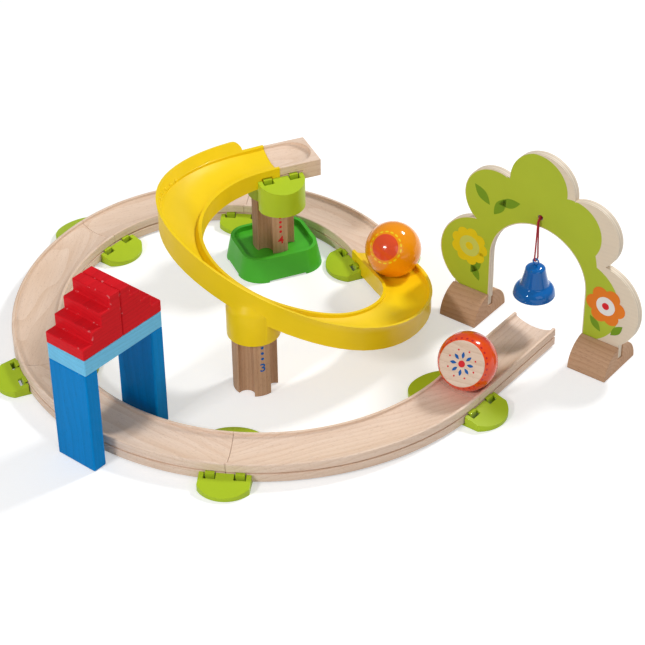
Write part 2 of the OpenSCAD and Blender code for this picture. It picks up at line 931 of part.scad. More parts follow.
module bell() {
    color("royalblue")
        on_bell()
            translate([0, 0, bell_z])
                difference() {
                    union() {
                        rotate_extrude()
                            bell_profile(0);
                        translate([0, 0, 1.2])
                            rotate_extrude()
                            translate([bell_d / 2 - 0.9, 0])
                            circle(1.2);
                    }
                    translate([0, 0, -0.01])
                        rotate_extrude()
                        bell_profile(bell_wall);
                    cylinder(r = eye_wire / 2 + 0.05, h = 2 * bell_h);
                }
}

module wire_ring(r, axis) {
    rotate(axis == "v" ? [90, 0, 0] : [0, 90, 0])
        rotate_extrude()
        translate([r, 0])
        circle(eye_wire / 2);
}

module bell_eye() {
    color("royalblue")
        on_bell() {
            translate([0, 0, eye_z])
                wire_ring(eye_r, "v");
            translate([0, 0, hook_z])
                wire_ring(hook_r, "u");
            translate([0, 0, hook_z + hook_r])
                cylinder(r = eye_wire / 2, h = eye_z - eye_r - hook_z - hook_r);
        }
}

clapper_gap = 0.3;
clapper_hang = hook_z - hook_r + eye_wire + clapper_gap;

module bell_clapper() {
    ring_r = 1.9;
    ring_z = clapper_hang - ring_r;
    ball_z = bell_z + clapper_d / 2 + 1;
    color("silver")
        on_bell() {
            translate([0, 0, ring_z])
                wire_ring(ring_r, "v");
            translate([0, 0, ball_z])
                cylinder(r = eye_wire / 2, h = ring_z - ring_r - ball_z);
            translate([0, 0, ball_z])
                sphere(d = clapper_d);
        }
}

// Route of the bell cord in the arch's frame, out from the panel's middle and up: from the knot behind the
// panel through the hole, down in front of it, through the bell's eye and back the same way
knot_gap = 1;
knot_r = 2.9;
knot_sink = 1.6;
strand = 0.9;
bend_r = 2.4;
bend_v = 0.6 - panel_t / 2;
bend_z = hole_z - strand - bend_r;
knot_v = panel_t / 2 + knot_gap;
cord_top = hole_z - 9.5;
cord_low = eye_z + 3.2;
function bend(r) = [for (a = [0 : 30 : 90]) [bend_v - r * sin(a), bend_z + r * cos(a)]];
function turned_back(route) = [for (i = [len(route) - 1 : -1 : 0]) route[i]];
front_drop = [[-2 * bell_out - bend_v + bend_r, cord_top], [-bell_out - 1.65, (cord_top + cord_low) / 2],
    [-bell_out - 2.4, cord_low], [-bell_out - 2.08, eye_z + 2], [-bell_out - 1.2, eye_z + 1.12]];
back_drop = [for (p = front_drop) [-2 * bell_out - p[0], p[1]]];
cord_route = concat([[knot_v, hole_z + strand], [0, hole_z + strand]], bend(bend_r + 2 * strand), front_drop,
    [[-bell_out, eye_z + 0.8]], turned_back(back_drop), turned_back(bend(bend_r)),
    [[0, hole_z - strand], [knot_v, hole_z - strand]]);

// Knot behind the panel that keeps the cord's two ends in the hole
module cord_knot() {
    color("crimson")
        on_arch()
            translate([0, knot_v, hole_z])
                rotate([-90, 0, 0])
                    intersection() {
                        translate([0, 0, knot_sink])
                            sphere(knot_r);
                        translate([-5, -5, 0])
                            cube(10);
                    }
}

module bell_cord() {
    n = len(cord_route);
    sides = 8;
    rings = [for (i = [0 : n - 1])
        let (p = cord_route[i], d = cord_route[min(i + 1, n - 1)] - cord_route[max(i - 1, 0)], t = d / norm(d))
        [for (k = [0 : sides - 1])
            let (c = cord_d / 2 * cos(360 * k / sides), e = cord_d / 2 * sin(360 * k / sides))
            [c, p[0] - e * t[1], p[1] + e * t[0]]]];
    color("crimson")
        on_arch()
            sweep([for (r = rings, q = r) q], sides, fan(sides));
}

module on_gate() {
    middle = large_r * dir(gate_angle) - lintel_l / 2 * dir(gate_heading);
    placed()
        joint_frame(middle, gate_heading)
            children();
}

module block(l, w, h) {
    linear_extrude(h)
        rounded_plan(l, w, block_round);
}

module gate_post_outer() {
    color("dodgerblue")
        on_gate()
            translate([post_t / 2, 0, 0])
                block(post_t, block_w, post_h);
}

module gate_post_inner() {
    color("dodgerblue")
        on_gate()
            translate([lintel_l - post_t / 2, 0, 0])
                block(post_t, block_w, post_h);
}

module gate_lintel() {
    color("skyblue")
        on_gate()
            translate([lintel_l / 2, 0, post_h])
                block(lintel_l, block_w, lintel_h);
}

module stair_outline() {
    run = (lintel_l / 2 - joint_gap / 2) / steps;
    rise = stair_h / steps;
    polygon(concat([[steps * run, 0]], [[0, 0]],
        [for (i = [1 : steps], k = [0, 1]) [(i - 1 + k) * run, i * rise]]));
}

module stair_block() {
    translate([0, block_w / 2, post_h + lintel_h])
        rotate([90, 0, 0])
        linear_extrude(block_w)
        stair_outline();
}

module stair_block_outer() {
    color("red")
        on_gate()
            stair_block();
}

module stair_block_inner() {
    color("red")
        on_gate()
            translate([lintel_l, 0, 0])
                mirror([1, 0, 0])
                stair_block();
}

curve_large_left();
curve_large_front_left();
curve_large_front_right();
curve_small_back_left();
curve_small_back_right();
track_straight();
starter_cup();
connector_exit();
connector_back();
connector_back_left();
connector_left();
connector_front();
connector_right();
tower_bracket();
tower_base();
rear_pillar();
front_pillar();
spiral_chute();
orange_ball();
red_ball();
arch_panel();
arch_foot_left();
arch_foot_right();
bell();
bell_eye();
bell_clapper();
bell_cord();
cord_knot();
gate_post_outer();
gate_post_inner();
gate_lintel();
stair_block_outer();
stair_block_inner();
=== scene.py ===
"""Looks of a toy ball track: beech track, plastic chute and clips, bell arch, blocks and balls."""
import json
import math

import bmesh
import bpy
from bpy.props import FloatProperty, FloatVectorProperty, PointerProperty
from mathutils import Matrix, Vector
from mathutils.bvhtree import BVHTree


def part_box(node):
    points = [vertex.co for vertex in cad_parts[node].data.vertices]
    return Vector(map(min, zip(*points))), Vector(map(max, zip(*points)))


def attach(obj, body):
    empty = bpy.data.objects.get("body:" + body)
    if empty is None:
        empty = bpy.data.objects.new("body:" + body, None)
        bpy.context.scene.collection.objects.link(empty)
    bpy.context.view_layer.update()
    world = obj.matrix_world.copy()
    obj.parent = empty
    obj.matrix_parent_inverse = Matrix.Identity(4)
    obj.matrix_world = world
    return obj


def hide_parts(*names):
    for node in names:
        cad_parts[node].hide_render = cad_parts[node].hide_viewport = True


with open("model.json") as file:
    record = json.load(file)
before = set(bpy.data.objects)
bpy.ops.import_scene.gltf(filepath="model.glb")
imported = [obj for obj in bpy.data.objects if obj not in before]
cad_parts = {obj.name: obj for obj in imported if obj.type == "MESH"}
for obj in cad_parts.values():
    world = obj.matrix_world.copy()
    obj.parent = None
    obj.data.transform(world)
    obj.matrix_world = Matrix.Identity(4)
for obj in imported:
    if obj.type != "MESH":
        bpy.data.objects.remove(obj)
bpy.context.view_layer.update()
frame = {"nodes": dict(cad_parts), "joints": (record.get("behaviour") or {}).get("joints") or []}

bl_info = {
    "name": "Ball Track",
    "version": (1, 0, 0),
    "blender": (4, 5, 0),
    "location": "3D View > Sidebar > Ball Track",
    "description": "Builds the visible pieces of a toy ball track round its packed model",
    "category": "Object",
}

MM = 0.001
JOINTS = {joint["name"]: joint for joint in frame["joints"]}
SET_BODY = "track_set"
UP = Vector((0.0, 0.0, 1.0))


def heading(degrees):
    """Level direction at that many degrees from +X."""
    return Vector((math.cos(math.radians(degrees)), math.sin(math.radians(degrees)), 0.0))


def stand(origin, along):
    """Frame with +X along a level direction and +Z up, standing at origin."""
    back = UP.cross(along)
    return Matrix((
        (along.x, back.x, 0.0, origin.x),
        (along.y, back.y, 0.0, origin.y),
        (0.0, 0.0, 1.0, origin.z),
        (0.0, 0.0, 0.0, 1.0),
    ))


def middle(node):
    """Middle of a CAD node's box, on the floor."""
    low, high = (Vector(corner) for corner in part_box(node))
    return Vector(((low.x + high.x) / 2, (low.y + high.y) / 2, 0.0))


# Layout, in the frame of the CAD model
RING_CENTRE = Vector((-41.4, 9.6, 0.0)) * MM
LARGE_RADIUS = 181 * MM
SMALL_RADIUS = 133 * MM
RING_TURN = 323.5
CURVE_TURN = 60.0
SMALL_CENTRE = RING_CENTRE + (LARGE_RADIUS - SMALL_RADIUS) * heading(RING_TURN - 180)
CURVES = {
    "curve_large_front_right": (RING_CENTRE, LARGE_RADIUS, RING_TURN - 60),
    "curve_large_front_left": (RING_CENTRE, LARGE_RADIUS, RING_TURN - 120),
    "curve_large_left": (RING_CENTRE, LARGE_RADIUS, RING_TURN - 180),
    "curve_small_back_left": (SMALL_CENTRE, SMALL_RADIUS, RING_TURN - 240),
    "curve_small_back_right": (SMALL_CENTRE, SMALL_RADIUS, RING_TURN - 300),
}
STRAIGHT_START = RING_CENTRE + LARGE_RADIUS * heading(RING_TURN)
RUN_OUT = Vector(JOINTS["red_ball_run"]["axis"])
TOWER_TURN = 23.3
TOWER = middle("rear_pillar")
GATE_TURN = 51.5
ARCH_FRAME = stand(
    Vector(JOINTS["cord_swing"]["pos_m"]) * Vector((1, 1, 0)), Vector(JOINTS["bell_swing"]["axis"]))
BALL_RADIUS = 22.5 * MM
PILLAR_RADIUS = 17 * MM
CHUTE_CENTRE = Vector((-17.74, 12.87, 0.0)) * MM
CHUTE_RADIUS = 86 * MM
HOLE_HEIGHT = 109.5 * MM
EYE_HEIGHT = 71.5 * MM
BELL_MOUTH = 41.5 * MM
BELL_OUT = 5.7 * MM
PANEL_HALF = 3 * MM
OPENING_HALF = 42.5 * MM
OPENING_TOP = 101 * MM


def millimetres(name, description, default, low, high):
    return FloatProperty(
        name=name, description=description, default=default * MM, min=low * MM, max=high * MM, unit="LENGTH")


class TrackSizes(bpy.types.PropertyGroup):
    """Sizes of the finish that a user may change, given here in millimetres"""

    rim_round: millimetres("Rim rounding", "Rounding of the wooden track's rims", 1.1, 0.2, 2)
    wood_round: millimetres("Block rounding", "Rounding of the wooden blocks' edges", 1.0, 0.2, 3)
    clip_round: millimetres("Clip rounding", "Rounding of the plastic connectors' edges", 0.5, 0.1, 1)
    chute_round: millimetres("Chute rounding", "Rounding of the chute's rims", 0.5, 0.1, 1)
    base_round: millimetres("Base rounding", "Rounding of the tower base's rim", 1.2, 0.2, 2)
    print_lift: millimetres("Print lift", "How far a print stands off its surface", 0.06, 0.02, 0.2)
    digit_height: millimetres("Digit height", "Height of the number on a pillar", 7.5, 4, 12)
    dot_radius: millimetres("Dot radius", "Radius of the level dots on a pillar", 1.25, 0.5, 2)


def colour(name, description, default):
    return FloatVectorProperty(
        name=name, description=description, default=default, size=3, min=0.0, max=1.0, subtype="COLOR")


class TrackColours(bpy.types.PropertyGroup):
    """Colours that a user may change"""

    beech: colour("Beech", "Pale wood of the track", (0.89, 0.71, 0.58))
    beech_dark: colour("Beech grain", "Darker grain of the track's wood", (0.68, 0.46, 0.31))
    brown_beech: colour("Brown beech", "Steamed wood of the pillars and arch feet", (0.62, 0.39, 0.24))
    brown_beech_dark: colour("Brown grain", "Darker grain of the steamed wood", (0.42, 0.21, 0.11))
    lime: colour("Lime", "Plastic of the connectors", (0.46, 0.62, 0.02))
    green: colour("Green", "Plastic of the tower base", (0.075, 0.50, 0.03))
    yellow: colour("Yellow", "Plastic of the chute", (0.98, 0.69, 0.008))
    orange: colour("Orange", "Orange ball", (0.98, 0.33, 0.003))
    orange_disc: colour("Orange disc", "Disc printed on the orange ball", (0.85, 0.085, 0.02))
    dots: colour("Dashes", "Dashes round the disc", (1.0, 0.70, 0.01))
    red: colour("Red", "Painted part of the red ball", (0.90, 0.075, 0.01))
    red_dots: colour("Red dots", "Dots printed on the red ball", (0.60, 0.015, 0.02))
    blue: colour("Blue", "Stained gate posts", (0.0, 0.25, 0.66))
    light_blue: colour("Light blue", "Stained lintel", (0.20, 0.62, 0.92))
    brick: colour("Brick red", "Stained stair blocks", (0.76, 0.012, 0.02))
    bell: colour("Bell blue", "Enamel of the bell", (0.0, 0.13, 0.46))
    leaf: colour("Leaf green", "Paint of the arch", (0.45, 0.55, 0.035))
    cream: colour("Cream", "Unpainted face and edge of the arch", (0.80, 0.68, 0.53))
    print_yellow: colour("Print yellow", "Yellow flower on the arch", (0.80, 0.62, 0.01))
    print_orange: colour("Print orange", "Orange flower on the arch", (0.85, 0.22, 0.02))
    print_green: colour("Print green", "Leaves on the arch", (0.18, 0.33, 0.015))
    print_pale: colour("Print pale green", "Middle of the yellow flower", (0.62, 0.66, 0.12))
    print_white: colour("Print white", "Middle of the orange flower", (0.86, 0.85, 0.82))
    print_blue: colour("Print blue", "Blue numbers and petals", (0.01, 0.12, 0.42))
    print_red: colour("Print red", "Red numbers and petals", (0.75, 0.02, 0.03))
    cord: colour("Cord", "Bell cord", (0.55, 0.015, 0.035))
    steel: colour("Steel", "Clapper of the bell", (0.62, 0.62, 0.60))


def sizes():
    return bpy.context.scene.ball_track_sizes


def colours():
    return bpy.context.scene.ball_track_colours


# Materials

def new_group(name, inputs, outputs):
    """Empty shader node group with (label, kind) inputs and outputs, and its two ends."""
    group = bpy.data.node_groups.new(name, "ShaderNodeTree")
    for way, sockets in (("INPUT", inputs), ("OUTPUT", outputs)):
        for label, kind in sockets:
            group.interface.new_socket(name=label, in_out=way, socket_type="NodeSocket" + kind)
    return group, group.nodes.new("NodeGroupInput"), group.nodes.new("NodeGroupOutput")


def math_node(tree, operation, first, second=None, clamp=False):
    """Math node fed by sockets or plain numbers; returns its output."""
    node = tree.nodes.new("ShaderNodeMath")
    node.operation = operation
    node.use_clamp = clamp
    for slot, value in zip(node.inputs, (first, second)):
        if isinstance(value, (int, float)):
            slot.default_value = value
        elif value is not None:
            tree.links.new(value, slot)
    return node.outputs[0]


def preset(node, values):
    """Sets a node's own sockets by name."""
    for name, value in values.items():
        node.inputs[name].default_value = value


def stretched_noise(tree, vector, scale, detail=2.0, distortion=0.0):
    """Noise on a vector that is first multiplied by scale; returns its factor."""
    mapping = tree.nodes.new("ShaderNodeMapping")
    mapping.inputs["Scale"].default_value = scale
    tree.links.new(vector, mapping.inputs["Vector"])
    noise = tree.nodes.new("ShaderNodeTexNoise")
    preset(noise, {"Scale": 1.0, "Detail": detail, "Distortion": distortion})
    tree.links.new(mapping.outputs["Vector"], noise.inputs["Vector"])
    return noise.outputs["Fac"]


def ranged(tree, value, low, high, to_low=0.0, to_high=1.0):
    node = tree.nodes.new("ShaderNodeMapRange")
    preset(node, {"From Min": low, "From Max": high, "To Min": to_low, "To Max": to_high})
    tree.links.new(value, node.inputs["Value"])
    return node.outputs["Result"]


def mixed(tree, factor, first, second):
    """Colour mix; the two colours are sockets or plain colours."""
    node = tree.nodes.new("ShaderNodeMix")
    node.data_type = "RGBA"
    tree.links.new(factor, node.inputs["Factor"])
    for socket, value in ((node.inputs[6], first), (node.inputs[7], second)):
        if isinstance(value, bpy.types.NodeSocket):
            tree.links.new(value, socket)
        else:
            socket.default_value = (*value, 1.0)
    return node.outputs[2]


def vector_node(tree, operation, first, second):
    """Vector math node fed by sockets or plain vectors; returns its output."""
    node = tree.nodes.new("ShaderNodeVectorMath")
    node.operation = operation
    for slot, value in zip(node.inputs, (first, second)):
        if isinstance(value, tuple):
            slot.default_value = value
        else:
            tree.links.new(value, slot)
    return node.outputs[0]


def wood_grain_group():
    """Beech on board coordinates in metres: wandering growth rings, soft streaks, fibres and short flecks."""
    name = "Wood grain"
    if name in bpy.data.node_groups:
        return bpy.data.node_groups[name]
    group, start, end = new_group(
        name, [("Board", "Vector")], [("Tone", "Float"), ("Fleck", "Float"), ("Height", "Float")])
    board = start.outputs["Board"]
    drift = group.nodes.new("ShaderNodeTexNoise")
    drift.inputs["Scale"].default_value = 1.0
    group.links.new(vector_node(group, "MULTIPLY", board, (6.0, 26.0, 26.0)), drift.inputs["Vector"])
    centred = vector_node(group, "SUBTRACT", drift.outputs["Color"], (0.5, 0.5, 0.5))
    swing = vector_node(group, "MULTIPLY", centred, (0.0, 0.016, 0.016))
    heart = vector_node(group, "ADD", vector_node(group, "ADD", board, swing), (0.0, 0.031, 0.052))
    rings = group.nodes.new("ShaderNodeTexWave")
    rings.wave_type = "RINGS"
    rings.rings_direction = "X"
    rings.wave_profile = "SAW"
    rings.inputs["Scale"].default_value = 92.0
    group.links.new(heart, rings.inputs["Vector"])
    late = math_node(group, "POWER", rings.outputs["Fac"], 2.2)
    streaks = stretched_noise(group, board, (5.0, 85.0, 85.0), 3.0, 0.5)
    fibres = stretched_noise(group, board, (24.0, 700.0, 700.0), 2.0)
    flecks = stretched_noise(group, board, (330.0, 1900.0, 1900.0), 1.0)
    soft = math_node(group, "ADD", math_node(group, "MULTIPLY", ranged(group, streaks, 0.3, 0.7), 0.36),
                     math_node(group, "MULTIPLY", ranged(group, fibres, 0.3, 0.7), 0.24))
    tone = math_node(group, "ADD", soft, math_node(group, "MULTIPLY", late, 0.40), clamp=True)
    group.links.new(tone, end.inputs["Tone"])
    group.links.new(ranged(group, flecks, 0.60, 0.72), end.inputs["Fleck"])
    group.links.new(math_node(group, "SUBTRACT", fibres, math_node(group, "MULTIPLY", flecks, 0.5)),
                    end.inputs["Height"])
    return group


def pale_edge_spots_group():
    """Paler spots along rounded edges: the attribute that marks the roundings, broken up by noise on object
    coordinates.
    """
    name = "Edge wear"
    if name in bpy.data.node_groups:
        return bpy.data.node_groups[name]
    group, start, end = new_group(name, [("Vector", "Vector"), ("Edge", "Float")], [("Mask", "Float")])
    patches = stretched_noise(group, start.outputs["Vector"], (260.0, 260.0, 260.0), 3.0)
    spots = ranged(group, patches, 0.62, 0.68)
    mask = math_node(group, "MULTIPLY", spots, start.outputs["Edge"], clamp=True)
    group.links.new(mask, end.inputs["Mask"])
    return group


def moulded_skin_group():
    """Moulded plastic: faint clouding of the colour and a fine matt texture, on object coordinates."""
    name = "Moulded skin"
    if name in bpy.data.node_groups:
        return bpy.data.node_groups[name]
    group, start, end = new_group(
        name, [("Vector", "Vector")], [("Cloud", "Float"), ("Sheen", "Float"), ("Height", "Float")])
    place = start.outputs["Vector"]
    cloud = stretched_noise(group, place, (28.0, 28.0, 28.0), 3.0)
    sheen = stretched_noise(group, place, (75.0, 75.0, 75.0), 2.0)
    texture = stretched_noise(group, place, (2600.0, 2600.0, 2600.0), 1.0)
    group.links.new(ranged(group, cloud, 0.3, 0.7), end.inputs["Cloud"])
    group.links.new(ranged(group, sheen, 0.3, 0.7), end.inputs["Sheen"])
    group.links.new(texture, end.inputs["Height"])
    return group


def new_material(name):
    """Material with its Principled shader; returns it, its node tree and the shader."""
    material = bpy.data.materials.new(name)
    material.use_nodes = True
    tree = material.node_tree
    shader = next(node for node in tree.nodes if node.type == "BSDF_PRINCIPLED")
    return material, tree, shader


def placed_group(tree, group, vector):
    node = tree.nodes.new("ShaderNodeGroup")
    node.node_tree = group
    tree.links.new(vector, node.inputs[0])
    return node


def attribute(tree, name, output="Vector"):
    node = tree.nodes.new("ShaderNodeAttribute")
    node.attribute_name = name
    return node.outputs[output]


def object_place(tree):
    return tree.nodes.new("ShaderNodeTexCoord").outputs["Object"]


def add_bump(tree, shader, height, strength, distance):
    bump = tree.nodes.new("ShaderNodeBump")
    preset(bump, {"Strength": strength, "Distance": distance})
    tree.links.new(height, bump.inputs["Height"])
    tree.links.new(bump.outputs["Normal"], shader.inputs["Normal"])


def dim(tint, share):
    return tuple(channel * share for channel in tint)


def wood_material(name, pale, dark, depth, fleck_depth, roughness, coat, pale_edge_colour=None, gloss=0.15):
    """Wood on board coordinates: pale and dark colours, how strongly grain and flecks show, paler spots on
    edges.
    """
    if name in bpy.data.materials:
        return bpy.data.materials[name]
    material, tree, shader = new_material(name)
    grain = placed_group(tree, wood_grain_group(), attribute(tree, "board"))
    tone = math_node(tree, "MULTIPLY", grain.outputs["Tone"], depth)
    fleck = math_node(tree, "MULTIPLY", grain.outputs["Fleck"], fleck_depth)
    look = mixed(tree, fleck, mixed(tree, tone, pale, dark), dim(dark, 0.7))
    if pale_edge_colour:
        wear = placed_group(tree, pale_edge_spots_group(), object_place(tree))
        tree.links.new(attribute(tree, "wear", "Fac"), wear.inputs["Edge"])
        look = mixed(tree, math_node(tree, "MULTIPLY", wear.outputs["Mask"], 0.6), look, pale_edge_colour)
    tree.links.new(look, shader.inputs["Base Color"])
    tree.links.new(ranged(tree, grain.outputs["Tone"], 0.0, 1.0, roughness, roughness + 0.12),
                   shader.inputs["Roughness"])
    preset(shader, {"Specular IOR Level": gloss, "Coat Weight": coat, "Coat Roughness": 0.25})
    add_bump(tree, shader, grain.outputs["Height"], 0.12, 0.15 * MM)
    return material


def beech_material():
    tint = colours()
    return wood_material("Beech", tint.beech, tint.beech_dark, 0.75, 0.35, 0.45, 0.05)


def brown_beech_material():
    tint = colours()
    return wood_material("Brown beech", tint.brown_beech, tint.brown_beech_dark, 0.8, 0.4, 0.5, 0.0)


def stained_material(name, tint):
    """Stained block: the stain deepens the grain, and the edges get paler spots."""
    pale = tuple(0.6 * channel + 0.25 for channel in tint)
    return wood_material(name, tint, dim(tint, 0.62), 0.6, 0.3, 0.34, 0.0, pale, 0.06)


def print_material(name, tint):
    """Printed or painted colour with a faintly uneven layer."""
    return plastic_material(name, tint, 0.5)


def plastic_material(name, tint, roughness, coat=0.0):
    """Moulded plastic or paint with a faintly clouded colour and a fine skin."""
    if name in bpy.data.materials:
        return bpy.data.materials[name]
    material, tree, shader = new_material(name)
    skin = placed_group(tree, moulded_skin_group(), object_place(tree))
    look = mixed(tree, skin.outputs["Cloud"], dim(tint, 0.93), tint)
    tree.links.new(look, shader.inputs["Base Color"])
    tree.links.new(ranged(tree, skin.outputs["Sheen"], 0.0, 1.0, roughness - 0.05, roughness + 0.07),
                   shader.inputs["Roughness"])
    preset(shader, {"Specular IOR Level": 0.2, "Coat Weight": coat, "Coat Roughness": 0.06})
    add_bump(tree, shader, skin.outputs["Height"], 0.10, 0.05 * MM)
    return material


# Meshes

def node_copy(node):
    """Merged copy of a CAD node as a bmesh, with each flat face whole."""
    bm = bmesh.new()
    bm.from_mesh(frame["nodes"][node].data)
    bmesh.ops.remove_doubles(bm, verts=bm.verts, dist=0.002 * MM)
    bmesh.ops.dissolve_limit(bm, angle_limit=math.radians(0.2), verts=bm.verts, edges=bm.edges)
    return bm


def round_edges(bm, width, sharper_than, segments):
    """Rounds every edge that turns more than that many degrees, and marks the roundings for paler edge spots.
    """
    limit = math.radians(sharper_than)
    wear = bm.faces.layers.float.new("wear")
    edges = [edge for edge in bm.edges if len(edge.link_faces) == 2 and edge.calc_face_angle() > limit]
    rounded = bmesh.ops.bevel(
        bm, geom=edges, offset=width, offset_type="OFFSET", segments=segments, profile=0.5, affect="EDGES",
        clamp_overlap=True, material=-1)
    for face in rounded["faces"]:
        face[wear] = 1.0


def lay_board(mesh, board):
    """Writes each point's place in its wooden board: +X of the board frame runs along the grain."""
    inverse = board.inverted()
    places = mesh.attributes.new("board", "FLOAT_VECTOR", "POINT")
    for vertex, value in zip(mesh.vertices, places.data):
        value.vector = inverse @ vertex.co


def add_piece(name, bm, materials, body, nodes=(), board=None, smooth=38.0):
    """Finished piece from a bmesh: it rides on its body and stands for its CAD nodes."""
    mesh = bpy.data.meshes.new(name)
    bm.to_mesh(mesh)
    bm.free()
    for material in materials:
        mesh.materials.append(material)
    mesh.shade_smooth()
    mesh.set_sharp_from_angle(angle=math.radians(smooth))
    if board is not None:
        lay_board(mesh, board)
    piece = bpy.data.objects.new(name, mesh)
    bpy.context.scene.collection.objects.link(piece)
    weighted = piece.modifiers.new("Even shading", "WEIGHTED_NORMAL")
    weighted.keep_sharp = True
    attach(piece, body)
    if nodes:
        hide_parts(*nodes)
    return piece


def add_rounded(node, suffix, material, width, sharper_than=40, segments=3, board=None):
    """Finished piece of the root body: a CAD node's copy with rounded edges."""
    bm = node_copy(node)
    round_edges(bm, width, sharper_than, segments)
    return add_piece(node + suffix, bm, [material], SET_BODY, [node], board)


def softened(corners, steps=4):
    """Closed outline through (point, reach) corners, each rounded by a curve that starts reach away."""
    outline = []
    for index, (corner, reach) in enumerate(corners):
        if not reach:
            outline.append(corner)
            continue
        before = (corners[index - 1][0] - corner).normalized() * reach + corner
        after = (corners[(index + 1) % len(corners)][0] - corner).normalized() * reach + corner
        for step in range(steps + 1):
            t = step / steps
            outline.append((1 - t) ** 2 * before + 2 * t * (1 - t) * corner + t * t * after)
    return outline


def track_outline():
    """Section of the wooden track as (sideways, up) points, with soft rims and side grooves."""
    low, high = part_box("track_straight")
    half, base, rim = 19 * MM, low[2], high[2]
    groove_half, wall, floor_radius = 16.5 * MM, 2.4 * MM, 34.5 * MM
    saw = (base + rim) / 2
    saw_half, saw_deep = 0.7 * MM, 1.6 * MM
    turn = math.asin(groove_half / floor_radius)
    centre = rim - wall + floor_radius * math.cos(turn)
    side = [
        (Vector((half, base)), 0.6 * MM), (Vector((half, saw - saw_half)), 0.25 * MM),
        (Vector((half - saw_deep, saw - saw_half)), 0), (Vector((half - saw_deep, saw + saw_half)), 0),
        (Vector((half, saw + saw_half)), 0.25 * MM), (Vector((half, rim)), sizes().rim_round),
        (Vector((groove_half, rim)), 0.8 * MM), (Vector((groove_half, rim - wall)), 0.9 * MM)]
    angles = [turn * (1 - 2 * step / 20) for step in range(2, 19)]
    floor = [(Vector((floor_radius * math.sin(a), centre - floor_radius * math.cos(a))), 0) for a in angles]
    other = [(Vector((-point.x, point.y)), reach) for point, reach in reversed(side)]
    return softened(side + floor + other)


def closed_ring(bm, points):
    """Closed loop of edges through points."""
    verts = [bm.verts.new(point) for point in points]
    return [bm.edges.new((vert, verts[index - 1])) for index, vert in enumerate(verts)]


def turned(bm, places, centre, axis, steps):
    """Turns a line of points a whole turn about an axis."""
    verts = [bm.verts.new(place) for place in places]
    edges = [bm.edges.new(pair) for pair in zip(verts, verts[1:])]
    bmesh.ops.spin(bm, geom=[*verts, *edges], cent=centre, axis=axis, angle=2 * math.pi, steps=steps,
                   use_merge=True)


def weld(bm):
    bmesh.ops.remove_doubles(bm, verts=bm.verts, dist=0.001 * MM)


def cap_ends(bm, width):
    """Fills both open ends of a swept outline and softens their edges."""
    open_edges = [edge for edge in bm.edges if edge.is_boundary]
    caps = bmesh.ops.holes_fill(bm, edges=open_edges)["faces"]
    bmesh.ops.recalc_face_normals(bm, faces=bm.faces)
    rims = list({edge for cap in caps for edge in cap.edges})
    bmesh.ops.bevel(bm, geom=rims, offset=width, offset_type="OFFSET", segments=2, profile=0.5,
                    affect="EDGES", clamp_overlap=True, material=-1)


def text_mesh(body, height):
    """Flat mesh of a number in the XY plane, that high and centred."""
    curve = bpy.data.curves.new("number", "FONT")
    curve.body = body
    curve.offset = 0.02
    holder = bpy.data.objects.new("number", curve)
    bpy.context.scene.collection.objects.link(holder)
    shown = holder.evaluated_get(bpy.context.evaluated_depsgraph_get())
    bm = bmesh.new()
    bm.from_mesh(shown.to_mesh())
    shown.to_mesh_clear()
    bpy.data.objects.remove(holder)
    bpy.data.curves.remove(curve)
    low = Vector(min(vert.co[axis] for vert in bm.verts) for axis in range(3))
    high = Vector(max(vert.co[axis] for vert in bm.verts) for axis in range(3))
    bmesh.ops.translate(bm, vec=-(low + high) / 2, verts=bm.verts)
    share = height / (high.y - low.y)
    bmesh.ops.scale(bm, vec=(share, share, share), verts=bm.verts)
    return bm


def disc(bm, place, radius, material=0, segments=32):
    """Flat disc whose face looks along +Z of its place."""
    made = bmesh.ops.create_circle(bm, cap_ends=True, segments=segments, radius=radius, matrix=place)
    for face in {face for vert in made["verts"] for face in vert.link_faces}:
        face.material_index = material
    return made["verts"]


def leaf(bm, place, length, width, material=0):
    """Flat pointed leaf along +X of its place."""
    verts = disc(bm, Matrix.Diagonal((length / 2, width / 2, 1.0, 1.0)), 1.0, material)
    for vert in verts:
        vert.co.y *= math.sqrt(max(0.0, 1 - abs(2 * vert.co.x / length) ** 1.5))
    bmesh.ops.transform(bm, matrix=place, verts=verts)


def ball_cap(bm, centre, direction, radius, spread, material=0, steps=8, segments=48, longer=None):
    """Round patch of a ball's skin, spread degrees from its middle to its edge, or twice that along a way."""
    before = set(bm.faces)
    along = direction.normalized()
    side = along.orthogonal().normalized()
    angles = [math.radians(spread) * step / steps for step in range(steps + 1)]
    places = [centre + radius * (math.cos(a) * along + math.sin(a) * side) for a in angles]
    turned(bm, places, centre, along, segments)
    for face in set(bm.faces) - before:
        face.material_index = material
        face.normal_update()
        if face.normal.dot(along) < 0:
            face.normal_flip()
    if longer is not None:
        for vert in {vert for face in set(bm.faces) - before for vert in face.verts}:
            way = vert.co - centre
            vert.co = centre + radius * (way + longer * way.dot(longer)).normalized()


def cap_ring(bm, centre, out, radius, ring, count, spread, material=0, dashes=False):
    """Ring of small patches of a ball's skin, ring radians from its middle; dashes are longer along it."""
    side = UP.cross(out).normalized()
    for step in range(count):
        way = Matrix.Rotation(2 * math.pi * step / count, 3, out) @ side
        patch_out = out * math.cos(ring) + way * math.sin(ring)
        ball_cap(bm, centre, patch_out, radius, spread, material, 2, 16, out.cross(way) if dashes else None)


def look_frame(origin, out):
    """Frame whose +Z looks out of a surface, with +Y as near to up as it can be."""
    side = UP.cross(out).normalized()
    top = out.cross(side)
    frame_matrix = Matrix((side, top, out)).transposed().to_4x4()
    frame_matrix.translation = origin
    return frame_matrix


JOINT_GAP = 0.3 * MM
END_ROUND = 0.25 * MM
CUP_ROUND = 0.6 * MM
BROWN_ROUND = 0.5 * MM
PANEL_ROUND = 0.4 * MM
